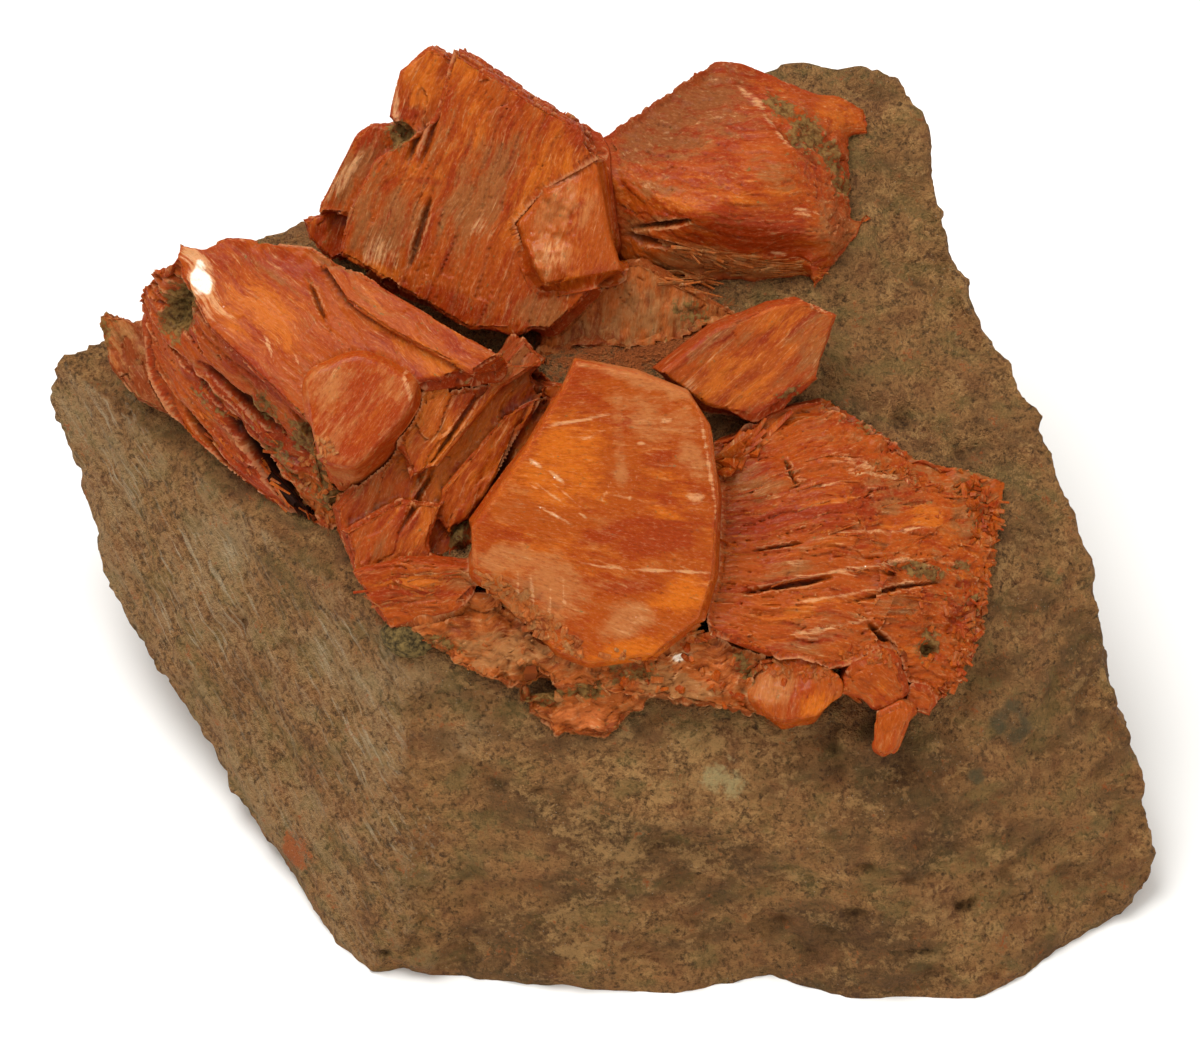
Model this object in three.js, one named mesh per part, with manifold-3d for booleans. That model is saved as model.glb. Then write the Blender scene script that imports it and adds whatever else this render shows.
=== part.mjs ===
// Heulandite on matrix: a cluster of orange-red heulandite crystals grown over the sloping top of a
// broken wedge of basalt. Millimetres, +Z up, resting on the flat underside of the basalt.
import * as THREE from 'three';
import { ConvexGeometry } from 'three/addons/geometries/ConvexGeometry.js';
import { ImprovedNoise } from 'three/addons/math/ImprovedNoise.js';
import { TessellateModifier } from 'three/addons/modifiers/TessellateModifier.js';
import { mergeVertices } from 'three/addons/utils/BufferGeometryUtils.js';
import Module from 'manifold-3d';

const wasm = await Module();
wasm.setup();

// ---------------------------------------------------------------- driving dimensions

const GAP = 0.35;               // clear space between two neighbouring crystals
const ROCK_GAP = 0.5;           // clear space between the basalt and the crystals' roots
const EDGE_WEAR = 0.3;          // bevel round the rims of a crystal plate
const ROOT_TAPER = 0.75;        // a root's far end, as a share of the plate that it carries
const ROCK_FACET = 3.8;         // longest edge of a facet on the broken basalt
const CUT_DEPTH = 3;            // how far the rough block reaches below its flat underside
const LONG_WAVE = { length: 15, height: 0.9 };     // broad swells of the broken faces
const SHORT_WAVE = { length: 5.5, height: 0.45 };  // knocks and ledges on them

// Corners of the basalt wedge. The underside's outline lies in the plane Z = 0.
const ROCK_UNDERSIDE = [
  [-16.5, -26.5], [3, -28.5], [17.5, -29], [27, -29], [35, -22.5], [36.5, -10],
  [33, 6], [26, 22], [15, 31], [-8, 28.5], [-21, 20], [-29, 9], [-24, -2],
];
const ROCK_LEFT_RIM = [
  [-40.5, 14, 17.5], [-39.5, 14.5, 19.5], [-38.5, 8.5, 12.5], [-36, 2.5, 8.5], [-32, -4, 6.5],
  [-28, -9.5, 4.5], [-21.5, -18.5, 2],
];
const ROCK_LEFT_RIDGE = [[-15, -11.5, 20.5], [-13, -21, 10]];
const ROCK_FRONT_LEDGE = [[3, -17.5, 15.5], [19.5, -18.5, 14], [30.5, -12.5, 15]];
const ROCK_FRONT_CREASE = [[3, -21.5, 12], [20, -22.5, 10.5], [33, -18, 9]];
const ROCK_RIGHT_RIM = [
  [39.5, -20, 2], [40, -18.5, 4], [39.5, -15, 8], [38, -11, 12], [36.5, -7, 16], [34.5, -3.5, 19],
  [33.5, 0.5, 22], [31.5, 5.5, 25], [29, 9, 26.5], [25, 18, 29.5], [23, 26.5, 31.5],
];
const ROCK_BACK_RIM = [
  [22, 31.5, 33], [14.5, 32, 33], [3, 30.5, 28], [-10, 30, 25.5], [-22, 24, 24.5], [-34.5, 17, 21],
];

// Shallow scars where flakes have come away from the basalt: centre, reach and depth.
const ROCK_SCARS = [
  { at: [12, -28.5, 1], reach: 4.5, depth: 1.8 },
  { at: [-14.5, -27, 0], reach: 2, depth: 1.2 },
  { at: [27.5, 14.5, 28.5], reach: 8, depth: 2.6 },
  { at: [2, 31, 29.5], reach: 6, depth: 2.5 },
    { at: [36.5, -9.5, 14], reach: 5, depth: 0.7 },
  { at: [31, -25, 6], reach: 7, depth: 1 },
];

const BASALT = { color: 0x80603e, roughness: 0.9, metalness: 0 };
const ORANGE = { color: 0xba5a28, roughness: 0.25, metalness: 0 };
const RED = { color: 0x9d4a26, roughness: 0.35, metalness: 0 };
const BROWN_RED = { color: 0x8c4827, roughness: 0.45, metalness: 0 };

// Each crystal lies in a frame of its own: `at` is its origin, and `facing` gives the direction that
// its broad face looks in, as degrees round from the front towards +X and degrees up from level.
// In that frame u runs to the right across the face, v up it and w out of it. A plate is an outline
// [u, v] with its front at w = `front`, `thick` deep; `round` runs a smooth curve through the
// outline. `sink` is how far the root under a plate runs straight down into the basalt. A body is the
// convex solid on the corners [u, v, w]. A crystal's plates, roots and bodies have grown into one
// solid. A crystal gives way to those listed before it.
const CRYSTALS = [
  {
    name: 'centre_tablet', finish: ORANGE, at: [0, -8, 29], facing: [2, 46],
    plates: [{
      front: 0, thick: 5.5, sink: 9,
      outline: [[-1.5, 11], [3, 10], [6.5, 8.5], [8, 6], [8.5, 1], [8, -4.5], [7, -7.5], [3.5, -10],
        [-1, -10.5], [-3.5, -9.5], [-6, -7], [-9, -4], [-9, -0.5], [-5, 5], [-2.5, 9]],
    }],
  },
  {
    name: 'left_round_plate', finish: ORANGE, at: [-17, -1, 32.5], facing: [-6, 54],
    plates: [{
      front: 0, thick: 2.5, sink: 4, round: true,
      outline: [[-4, 1.5], [-2.5, 3], [0, 4], [3.5, 2.5], [4, 0.5], [2, -2.5], [0, -4.5], [-2.5, -4]],
    }],
  },
  {
    name: 'upper_left_flake', finish: ORANGE, at: [-2, 13, 34.5], facing: [14, 48],
    plates: [{
      front: 0, thick: 4, sink: 5,
      outline: [[-3.5, 2], [-1, 4], [3, 5.5], [3, 0], [3.5, -3], [-2.5, -3], [-3, -1.5]],
    }],
  },
  {
    name: 'front_half_moon', finish: ORANGE, at: [14, -17, 20], facing: [4, 42],
    plates: [{
      front: 0, thick: 2, sink: 3, round: true,
      outline: [[-3.5, 0], [-1.5, 2.5], [1.5, 2], [3, 0.5], [1.5, -1.5], [-1.5, -2]],
    }],
  },
  {
    name: 'front_knob', finish: RED, at: [19, -16, 20.5], facing: [2, 42],
    plates: [
      { front: 0, thick: 4, outline: [[-2, -1], [-2, 0.5], [0.5, 2], [2, 1.5], [2.5, -1], [0.5, -2]] },
      { front: -0.6, thick: 2.5, outline: [[-2.5, -1.5], [0, -2], [0, -4], [-1, -4]] },
    ],
  },
  {
    name: 'front_finger', finish: ORANGE, at: [20.5, -18.5, 18], facing: [-4, 44],
    plates: [{
      front: 0, thick: 2.6,
      outline: [[-1.5, 2], [0, 2.5], [1.5, 1.5], [0.5, -1.5], [-0.5, -2], [-1.5, -1.5]],
    }],
  },
  {
    name: 'front_right_blade', finish: RED, at: [23, -15.5, 19], facing: [10, 44],
    plates: [{ front: 0, thick: 3, outline: [[-2, 0], [-1.5, 0.5], [0, 0], [0.5, -1], [0, -2], [-1, -1.5]] }],
  },
  {
    name: 'centre_right_wedge', finish: RED, at: [11.5, 4.5, 31], facing: [12, 42],
    plates: [{
      front: 0, thick: 4, sink: 6,
      outline: [[-7.5, 0.5], [-3, 3], [1.5, 4], [3.5, 4], [6, 2.5], [4.5, -0.5], [4, -2], [-1, -4],
        [-4.5, -2.5]],
    }],
  },
  {
    name: 'left_book', finish: RED, at: [-19, 6, 35], facing: [-14, 62],
    plates: [
      {
        front: 0, thick: 4, sink: 13,
        outline: [[-12, 3], [-10, 3], [-8.5, 4], [-2.5, 4.5], [4, 2], [12.5, -1], [12.5, -2], [7.5, -4],
          [2, -8], [-0.5, -8], [-4.5, -5.5], [-8.5, -3], [-12, 1.5]],
      },
      { front: 0.8, thick: 3, outline: [[-1.5, 3], [0, 3.5], [13, -1], [11, -3], [4.5, -1], [1, 0.5]] },
    ],
    bodies: [[
      [-14, 1, -2.5], [-12, 1.5, -0.5], [-9, -1, -0.5], [0, -9, -3.5], [2.5, -12, -6.5], [2, -14.5, -8],
      [-4, -12.5, -8.5], [-10.5, -9, -9], [-15.5, -0.5, -6.5], [-13.5, -5.5, -9], [-5, 6, -9],
      [1, -13.5, -14], [-2, 3.5, -12], [-15, 1, -12.5],
    ]],
  },
  {
    name: 'middle_sheaf', finish: RED, at: [-10.5, -2.5, 26.5], facing: [14, 47],
    plates: [
      {
        front: 0, thick: 7, sink: 5,
        outline: [[8.5, 7], [7, 6], [10, 5], [9.5, 1.5], [4, -3.5], [-4.5, -8], [-8, -5], [-8.5, -0.5],
          [-3, 4.5], [-1, 7], [5, 7.5], [7, 9]],
      },
      { front: 1.4, thick: 2, outline: [[8, 7], [4.5, 5.5], [-1, 1], [-3, 0.5], [-3.5, 3.5], [-1, 7], [5, 7.5]] },
      { front: 0.8, thick: 2, outline: [[8, 5], [2, -1.5], [-1, -4], [-1.5, -2.5], [-1, -0.5], [4.5, 4]] },
      { front: 1.6, thick: 2.5, outline: [[-3.5, -6], [-8, -5], [-8.5, -2], [-4, -0.5], [-1, -1.5]] },
    ],
  },
  {
    name: 'upper_left_book', finish: RED, at: [-9.5, 16.5, 36], facing: [-8, 44],
    plates: [
      {
        front: 0, thick: 7, sink: 13,
        outline: [[-2, 10], [4, 7], [7.5, 5.5], [9, 3.5], [10.5, -3], [10, -6], [7, -9.5], [1, -10],
          [-9, -5.5], [-8.5, -2], [-7, 1.5], [-3, 5]],
      },
      { front: -1.5, thick: 5, outline: [[-6.5, 4.5], [-6, 8], [-4, 10], [-2.5, 9.5], [-1, 7], [-2.5, 2.5]] },
      { front: -3, thick: 6, outline: [[-11, -2], [-9, 3], [-8, 4], [-6, 4], [-3.5, 2.5], [-5, -3], [-11, -3]] },
      { front: -4.5, thick: 6, outline: [[-12.5, -3.5], [-9, -2], [-8, -5.5], [-10, -6.5], [-12, -5]] },
    ],
  },
  {
    name: 'right_sheaf', finish: RED, at: [17.5, -8, 24], facing: [8, 58],
    bodies: [
      [
        [-8.5, 10, -2], [-2, 11, -3], [0, 12.5, -3.5], [4.5, 9, -3], [0.5, 4.5, 0.5], [-9.5, 1, 0.5],
        [-10.5, -4, 1], [-3.5, -7.5, 1.5], [1, -7, 1], [3.5, -2, 1], [7, 6.5, -3], [-7.5, 11, -9],
        [1, 13.5, -9], [7.5, 7, -7], [3.5, -6.5, -5.5], [-9.5, -3, -7],
      ],
      [
        [6, 7.5, -3], [10.5, 6, -3.5], [12.5, 5, -3.5], [11, 0, -2.5], [9, -4.5, -1], [8.5, -7.5, -1],
        [6, -10.5, -1], [4, -10.5, -0.5], [0.5, -6, 1], [2, -0.5, 1.5], [8, 6.5, -9.5], [13, 5, -8],
        [10.5, -3, -7.5], [6, -9.5, -5.5], [2, -6.5, -5.5],
      ],
    ],
  },
  {
    name: 'upper_right_sheaf', finish: RED, at: [9.5, 18.5, 34.5], facing: [4, 38],
    bodies: [
      [
        [-9.5, 3.5, -4], [-0.5, 8.5, -8], [2, 8, -7.5], [3.5, 6.5, -7], [-9.5, 1.5, -2],
        [-9, -2.5, -1.5], [-8, -6.5, -2], [-2.5, -1.5, 3.5], [4, 1.5, 1], [-0.5, -11, -3],
        [7, -11, -2.5], [7, -4, 1.5], [10, -5.5, -4], [9, 4.5, -7], [-7, -6, -12],
        [0, 1, -15], [9, 0, -14], [8, -10, -10],
      ],
      [
        [6, 5.5, -6.5], [8.5, 5.5, -8], [11, 4, -8], [11, 2, -6.5], [5.5, 4.5, -5],
        [7, 0, -13], [9.5, 0, -13], [6, -2, -12],
      ],
      [
        [6, -4, 0.5], [10.5, -3, -3.5], [10.5, -5.5, -3], [8.5, -11, -2], [5.5, -9, 0.5], [5, -5.5, 1.5],
        [7, -6, -10], [9.5, -5, -10], [8, -10.5, -8],
      ],
    ],
  },
  {
    name: 'far_left_blades', finish: BROWN_RED, at: [-34, 9.5, 24.5], facing: [-25, 50],
    plates: [
      {
        front: 0, thick: 5, sink: 6,
        outline: [[-4, 3], [-3.5, 3.5], [2, 4], [5.5, 0.5], [6, -2.5], [1, -2], [-1.5, -0.5], [-3.5, 2]],
      },
      { front: 1.5, thick: 2.2, outline: [[1, 2.5], [1.5, 3], [6, -1.5], [8, -3.5], [5.5, -3], [2.5, 0.5]] },
    ],
  },
  {
    name: 'front_fold', finish: RED, at: [-12.5, -11.5, 24], facing: [-2, 40],
    plates: [{
      front: 0, thick: 4, sink: 5,
      outline: [[-5, 2], [-1, 3], [3.5, 2.5], [5, 2], [2.5, -0.5], [-2.5, -2], [-4, 0]],
    }],
  },
  {
    name: 'front_crust', finish: BROWN_RED, at: [1.5, -16, 18.5], facing: [0, 44],
    bodies: [
      [
        [-19, 8.5, -1], [-17, 5.5, 0], [-10, 1.5, 0.5], [-7, 0.5, 0.5], [-1.5, 3.5, 0], [-8.5, 7, 0],
        [-15.5, 7, 0.5], [-17, 7, -8.5], [-8.5, 1, -8], [-2, 3, -8],
      ],
      [
        [-7, 0.5, 0.5], [-6, -1.5, 0], [-4.5, -2.5, 0], [-1, -3, 0], [2, 0, 0.5], [-1.5, 1, 0.5],
        [-6, -2.5, -7.5], [-1.5, -3.5, -7.5], [1.5, -1, -7.5],
      ],
      [
        [-8.5, 3, 0.5], [-4.5, 1, 1], [5.5, 0, 1], [12, -1.5, 0.5], [12.5, 3, 0.5], [5.5, 4.5, 0.5],
        [-7, 4.5, 0.5], [-6, 0.5, -7.5], [12, -2, -7.5], [11.5, 2.5, -8],
      ],
    ],
  },
  {
    name: 'pocket_crystal', finish: BROWN_RED, at: [3, 10.5, 28], facing: [2, 44],
    plates: [{
      front: 0, thick: 7,
      outline: [[-7.5, -1], [-6, 2], [-3, 4.5], [0, 5], [7, 1], [9, -2], [7, -7], [-4, -8], [-8, -5]],
    }],
  },
];

// ---------------------------------------------------------------- solids

// Turns a closed geometry into a solid that can be cut and joined.
function solidOf(geometry) {
  geometry.deleteAttribute('normal');
  geometry.deleteAttribute('uv');
  const merged = mergeVertices(geometry, 1e-4);
  return new wasm.Manifold(new wasm.Mesh({
    numProp: 3,
    vertProperties: Float32Array.from(merged.attributes.position.array),
    triVerts: Uint32Array.from(merged.index.array),
  }));
}

// Turns a solid back into a geometry.
function geometryOf(solid) {
  const mesh = solid.getMesh();
  const geometry = new THREE.BufferGeometry();
  geometry.setAttribute('position', new THREE.BufferAttribute(mesh.vertProperties, 3));
  geometry.setIndex(new THREE.BufferAttribute(mesh.triVerts, 1));
  geometry.computeVertexNormals();
  return geometry;
}

// The largest of the bodies that a cut leaves.
function largestBody(solid) {
  return solid.decompose().reduce((best, body) => (body.volume() > best.volume() ? body : best));
}

// The root of a plate: its back, drawn straight down to a smaller far end.
function rootSolid({ outline, front, thick, sink }, tilt, grow) {
  const middle = outline.reduce(([u, v], point) => [
    u + point[0] / outline.length, v + point[1] / outline.length], [0, 0]);
  const [down, back] = [-sink * Math.cos(tilt), -sink * Math.sin(tilt)];
  const nearEnd = outline.map(([u, v]) => [
    THREE.MathUtils.lerp(middle[0], u, 0.95), THREE.MathUtils.lerp(middle[1], v, 0.95), front - thick / 2]);
  const farEnd = outline.map(([u, v]) => [
    THREE.MathUtils.lerp(middle[0], u, ROOT_TAPER), THREE.MathUtils.lerp(middle[1], v, ROOT_TAPER) + down,
    front - thick + back]);
  return bodySolid([...nearEnd, ...farEnd], grow);
}

// A flat plate with a worn rim, made larger by `grow` all round.
function plateSolid({ outline, front, thick, round = false }, grow) {
  const corners = outline.map(([u, v]) => new THREE.Vector2(u, v));
  if (THREE.ShapeUtils.area(corners) < 0) corners.reverse();
  const rim = round ? new THREE.SplineCurve([...corners, corners[0]]).getPoints(2 * corners.length) : corners;
  const geometry = new THREE.ExtrudeGeometry(new THREE.Shape(rim), {
    depth: thick + 2 * (grow - EDGE_WEAR),
    bevelThickness: EDGE_WEAR,
    bevelSize: EDGE_WEAR,
    bevelOffset: grow - EDGE_WEAR,
    bevelSegments: 1,
  });
  return solidOf(geometry.translate(0, 0, front - thick - grow + EDGE_WEAR));
}

// A convex solid on its corners, made larger by `grow` all round.
function bodySolid(corners, grow) {
  const reach = grow > 0 ? [-grow, grow] : [0];
  const points = corners.flatMap(([u, v, w]) => reach.flatMap((du) => reach.flatMap((dv) => (
    reach.map((dw) => new THREE.Vector3(u + du, v + dv, w + dw))
  ))));
  return solidOf(new ConvexGeometry(points));
}

// The frame of a crystal: its axes u, v and w as columns, and its origin.
function crystalFrame({ at, facing }) {
  const [turn, tilt] = facing.map(THREE.MathUtils.degToRad);
  const w = new THREE.Vector3(
    Math.sin(turn) * Math.cos(tilt), -Math.cos(turn) * Math.cos(tilt), Math.sin(tilt));
  const u = new THREE.Vector3(Math.cos(turn), Math.sin(turn), 0);
  const v = new THREE.Vector3().crossVectors(w, u);
  return new THREE.Matrix4().makeBasis(u, v, w).setPosition(...at);
}

// A crystal as one solid in the specimen's frame, made larger by `grow` all round.
function crystalSolid(crystal, grow = 0) {
  const { plates = [], bodies = [], facing } = crystal;
  const tilt = THREE.MathUtils.degToRad(facing[1]);
  const grown = [
    ...plates.map((plate) => plateSolid(plate, grow)),
    ...plates.filter((plate) => plate.sink).map((plate) => rootSolid(plate, tilt, grow)),
    ...bodies.map((corners) => bodySolid(corners, grow)),
  ];
  const joined = grown.reduce((whole, piece) => whole.add(piece));
  return joined.transform(crystalFrame(crystal).elements);
}

// ---------------------------------------------------------------- basalt

const noise = new ImprovedNoise();

// How far the broken surface stands proud at a point: swells and knocks, less the scars.
function roughness(point) {
  const wave = ({ length, height }) => (
    height * noise.noise(point.x / length + 7.3, point.y / length + 2.1, point.z / length + 4.7));
  const scar = ({ at, reach, depth }) => {
    const distance = point.distanceTo(new THREE.Vector3(...at));
    return depth * Math.exp(-((distance / reach) ** 2));
  };
  return wave(LONG_WAVE) + wave(SHORT_WAVE) - ROCK_SCARS.reduce((sum, each) => sum + scar(each), 0);
}

// The basalt wedge with broken faces and a flat underside, made larger by `grow` all round.
function rockSolid(grow = 0) {
  const corners = [
    ...ROCK_UNDERSIDE.flatMap(([x, y]) => [[x, y, 0], [x, y, -CUT_DEPTH]]),
    ...ROCK_LEFT_RIM, ...ROCK_LEFT_RIDGE, ...ROCK_FRONT_LEDGE, ...ROCK_FRONT_CREASE,
    ...ROCK_RIGHT_RIM, ...ROCK_BACK_RIM,
  ];
  const hull = new ConvexGeometry(corners.map((corner) => new THREE.Vector3(...corner)));
  hull.deleteAttribute('normal');
  hull.deleteAttribute('uv');
  const block = mergeVertices(new TessellateModifier(ROCK_FACET, 12).modify(hull), 1e-3);
  block.computeVertexNormals();
  const { position, normal } = block.attributes;
  const point = new THREE.Vector3();
  const outward = new THREE.Vector3();
  for (let i = 0; i < position.count; i += 1) {
    point.fromBufferAttribute(position, i);
    outward.fromBufferAttribute(normal, i);
    point.addScaledVector(outward, roughness(point) + grow);
    position.setXYZ(i, point.x, point.y, point.z);
  }
  return solidOf(block).trimByPlane([0, 0, 1], 0);
}

// ---------------------------------------------------------------- specimen

function namedMesh(name, solid, finish) {
  const mesh = new THREE.Mesh(geometryOf(solid), new THREE.MeshStandardMaterial({ ...finish, flatShading: true }));
  mesh.name = name;
  return mesh;
}

const specimen = new THREE.Group();
specimen.add(namedMesh('basalt_matrix', rockSolid(), BASALT));
let occupied = rockSolid(ROCK_GAP);
for (const crystal of CRYSTALS) {
  const solid = largestBody(crystalSolid(crystal).subtract(occupied));
  specimen.add(namedMesh(crystal.name, solid, crystal.finish));
  occupied = occupied.add(crystalSolid(crystal, GAP));
}

// The origin lies under the middle of the specimen, on the surface that it rests on.
const middle = new THREE.Box3().setFromObject(specimen).getCenter(new THREE.Vector3());
specimen.position.set(-middle.x, -middle.y, 0);

export default specimen;
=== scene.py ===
"""Looks of a heulandite on matrix: orange-red crystals grown together on a lump of basalt.

Lengths are in millimetres while a piece is being shaped, and in metres once it is finished.
"""

from __future__ import annotations

import logging
import math
from dataclasses import dataclass
from enum import Enum
from itertools import product

import bmesh
import bpy
import numpy as np
from mathutils import Matrix, Vector
from mathutils.bvhtree import BVHTree


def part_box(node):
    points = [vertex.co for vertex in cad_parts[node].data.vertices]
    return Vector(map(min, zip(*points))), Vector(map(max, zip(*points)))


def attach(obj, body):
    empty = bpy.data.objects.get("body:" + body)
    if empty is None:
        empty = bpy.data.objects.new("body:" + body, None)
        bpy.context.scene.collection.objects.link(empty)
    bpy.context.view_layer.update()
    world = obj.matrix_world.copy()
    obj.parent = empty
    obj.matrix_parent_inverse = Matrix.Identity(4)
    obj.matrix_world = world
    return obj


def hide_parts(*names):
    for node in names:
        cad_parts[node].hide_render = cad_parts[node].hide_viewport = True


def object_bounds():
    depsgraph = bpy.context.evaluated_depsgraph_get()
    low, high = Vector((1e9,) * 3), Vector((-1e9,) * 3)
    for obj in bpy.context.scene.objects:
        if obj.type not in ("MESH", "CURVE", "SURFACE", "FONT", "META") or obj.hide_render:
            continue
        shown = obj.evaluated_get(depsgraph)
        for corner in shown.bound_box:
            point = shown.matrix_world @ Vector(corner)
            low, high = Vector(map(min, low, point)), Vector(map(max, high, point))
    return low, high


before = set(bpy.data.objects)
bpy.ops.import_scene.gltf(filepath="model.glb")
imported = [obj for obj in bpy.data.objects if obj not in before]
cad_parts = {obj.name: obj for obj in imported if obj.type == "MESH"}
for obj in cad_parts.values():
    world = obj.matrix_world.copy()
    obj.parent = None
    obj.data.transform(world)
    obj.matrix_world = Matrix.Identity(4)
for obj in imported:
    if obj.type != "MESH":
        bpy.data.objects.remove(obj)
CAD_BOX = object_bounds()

LOG = logging.getLogger("heulandite")
MM = 0.001
PER_METRE = 1000.0
# The least length that is divided by.
TINY = 1e-6
BODY = "root"
# How far over a face a small blade starts its fall, in millimetres.
DROP = 14.0
# Further than the nearest cell's middle ever is, in cells.
FAR = 9.0
# How far apart two crystals' fibre patterns are taken, in millimetres.
FIBRE_STEP = 3.1
# Keeps the small blades' chance numbers apart from the crystals'.
BLADE_SEED = 500
# Large odd numbers that scramble a cell's place.
SCRAMBLE_AXES = (73856093, 19349663, 83492791)
SCRAMBLE_SEED = 2654435
SCRAMBLE_FIRST = 1274126177
SCRAMBLE_SECOND = 2246822519
LOW_BITS = 0xFFFFFF


def hashed(cells: np.ndarray, seed: int) -> np.ndarray:
    """Gives each whole-number cell its own number from 0 to 1.

    Args:
        cells: Whole numbers, with the three of a cell along the last axis.
        seed: Picks one of many sets of numbers.

    Returns:
        One number for each cell.
    """
    mixed = (cells.astype(np.int64) * np.array(SCRAMBLE_AXES)).sum(-1)
    mixed = (mixed + seed * SCRAMBLE_SEED) * SCRAMBLE_FIRST
    mixed = (mixed ^ (mixed >> 15)) * SCRAMBLE_SECOND
    return ((mixed ^ (mixed >> 13)) & LOW_BITS) / float(LOW_BITS)


def hashed_index(index: np.ndarray, seed: int) -> np.ndarray:
    """Gives each index its own number from 0 to 1."""
    nothing = np.zeros_like(index)
    return hashed(np.stack([index, nothing, nothing], axis=-1), seed)


def noise(places: np.ndarray, scale: float, seed: int) -> np.ndarray:
    """Smooth noise from -1 to 1.

    Args:
        places: Points, one in each row.
        scale: The noise's own length, in the points' unit.
        seed: Picks one of many noises.

    Returns:
        One number for each point.
    """
    scaled = places / scale
    cell = np.floor(scaled)
    share = scaled - cell
    share = share * share * (3 - 2 * share)
    total = np.zeros(len(places))
    for corner in product((0, 1), repeat=3):
        weight = np.prod(np.where(np.array(corner) == 1, share, 1 - share), axis=-1)
        total += weight * hashed(cell + corner, seed)
    return 2 * total - 1


def fractal(places: np.ndarray, scale: float, seed: int, octaves: int = 3) -> np.ndarray:
    """Noise from about -1 to 1 with finer noises laid over it, each half as strong."""
    total = sum(noise(places, scale / 2**i, seed + i) / 2**i for i in range(octaves))
    return total / (2 - 2 ** (1 - octaves))


def nearest_grain(places: np.ndarray, scale: float, seed: int) -> np.ndarray:
    """How far each point is from the nearest of many scattered points.

    Args:
        places: Points, one in each row.
        scale: How far apart the scattered points are, in the points' unit.
        seed: Picks one of many scatterings.

    Returns:
        One number for each point, as a share of the scale.
    """
    scaled = places / scale
    cell = np.floor(scaled)
    best = np.full(len(places), FAR)
    for step in product((-1, 0, 1), repeat=3):
        near = cell + step
        middle = near + np.stack([hashed(near, seed + axis) for axis in range(3)], axis=-1)
        best = np.minimum(best, np.linalg.norm(scaled - middle, axis=-1))
    return best


def long_cells(
    places: np.ndarray, size: tuple[float, float, float], seed: int
) -> tuple[np.ndarray, np.ndarray, np.ndarray]:
    """Fills space with cells that are long along Y, like the laths of a sheaf.

    Args:
        places: Points, one in each row.
        size: A cell's mean width, length and thickness, in the points' unit.
        seed: Picks one of many patterns.

    Returns:
        Each point's cell as three whole numbers, its place in the cell as shares of the size, and how
        much further away the next cell's middle is.
    """
    scaled = places / np.array(size)
    corner = np.floor(scaled)
    best = np.full(len(places), FAR)
    second = best.copy()
    owner = np.zeros_like(scaled)
    offset = np.zeros_like(scaled)
    for step in product((-1, 0, 1), repeat=3):
        near = corner + step
        middle = near + 0.1 + 0.8 * np.stack([hashed(near, seed + axis) for axis in range(3)], axis=-1)
        away = scaled - middle
        far = np.linalg.norm(away, axis=-1)
        closer = far < best
        second = np.where(closer, best, np.minimum(second, far))
        best = np.where(closer, far, best)
        owner[closer] = near[closer]
        offset[closer] = away[closer]
    return owner, offset, second - best


def eased(values: np.ndarray, low: float, high: float) -> np.ndarray:
    """Goes smoothly from 0 at the low value to 1 at the high one."""
    share = np.clip((values - low) / (high - low), 0, 1)
    return share * share * (3 - 2 * share)


def linear(hex_colour: int, alpha: float = 1.0) -> tuple[float, float, float, float]:
    """Turns a colour into the shader's linear numbers.

    Args:
        hex_colour: The colour written as 0xRRGGBB.
        alpha: How solid it is, from 0 to 1.

    Returns:
        Red, green, blue and alpha.
    """
    parts = [((hex_colour >> shift) & 255) / 255 for shift in (16, 8, 0)]
    bent = [part / 12.92 if part <= 0.04045 else ((part + 0.055) / 1.055) ** 2.4 for part in parts]
    return (*bent, alpha)


@dataclass(frozen=True)
class Term:
    """A shader socket that sums are written with."""

    maker: "Maker"
    socket: bpy.types.NodeSocket

    def _sum(self, operation: str, left: object, right: object) -> "Term":
        """Adds one Math node."""
        return self.maker.term("Math", {"operation": operation}, {0: left, 1: right})

    def __add__(self, other: object) -> "Term":
        """This plus the other."""
        return self._sum("ADD", self, other)

    __radd__ = __add__

    def __sub__(self, other: object) -> "Term":
        """This less the other."""
        return self._sum("SUBTRACT", self, other)

    def __rsub__(self, other: object) -> "Term":
        """The other less this."""
        return self._sum("SUBTRACT", other, self)

    def __mul__(self, other: object) -> "Term":
        """This times the other."""
        return self._sum("MULTIPLY", self, other)

    __rmul__ = __mul__

    def above(self, low: float, high: float) -> "Term":
        """Goes smoothly from 0 at the low value to 1 at the high one."""
        settings = {"interpolation_type": "SMOOTHSTEP"}
        return self.maker.term("MapRange", settings, {0: self, 1: low, 2: high, 3: 0.0, 4: 1.0})

    def held(self) -> "Term":
        """This kept from 0 to 1."""
        return self.maker.term("Clamp", {}, {0: self, 1: 0.0, 2: 1.0})


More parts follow.
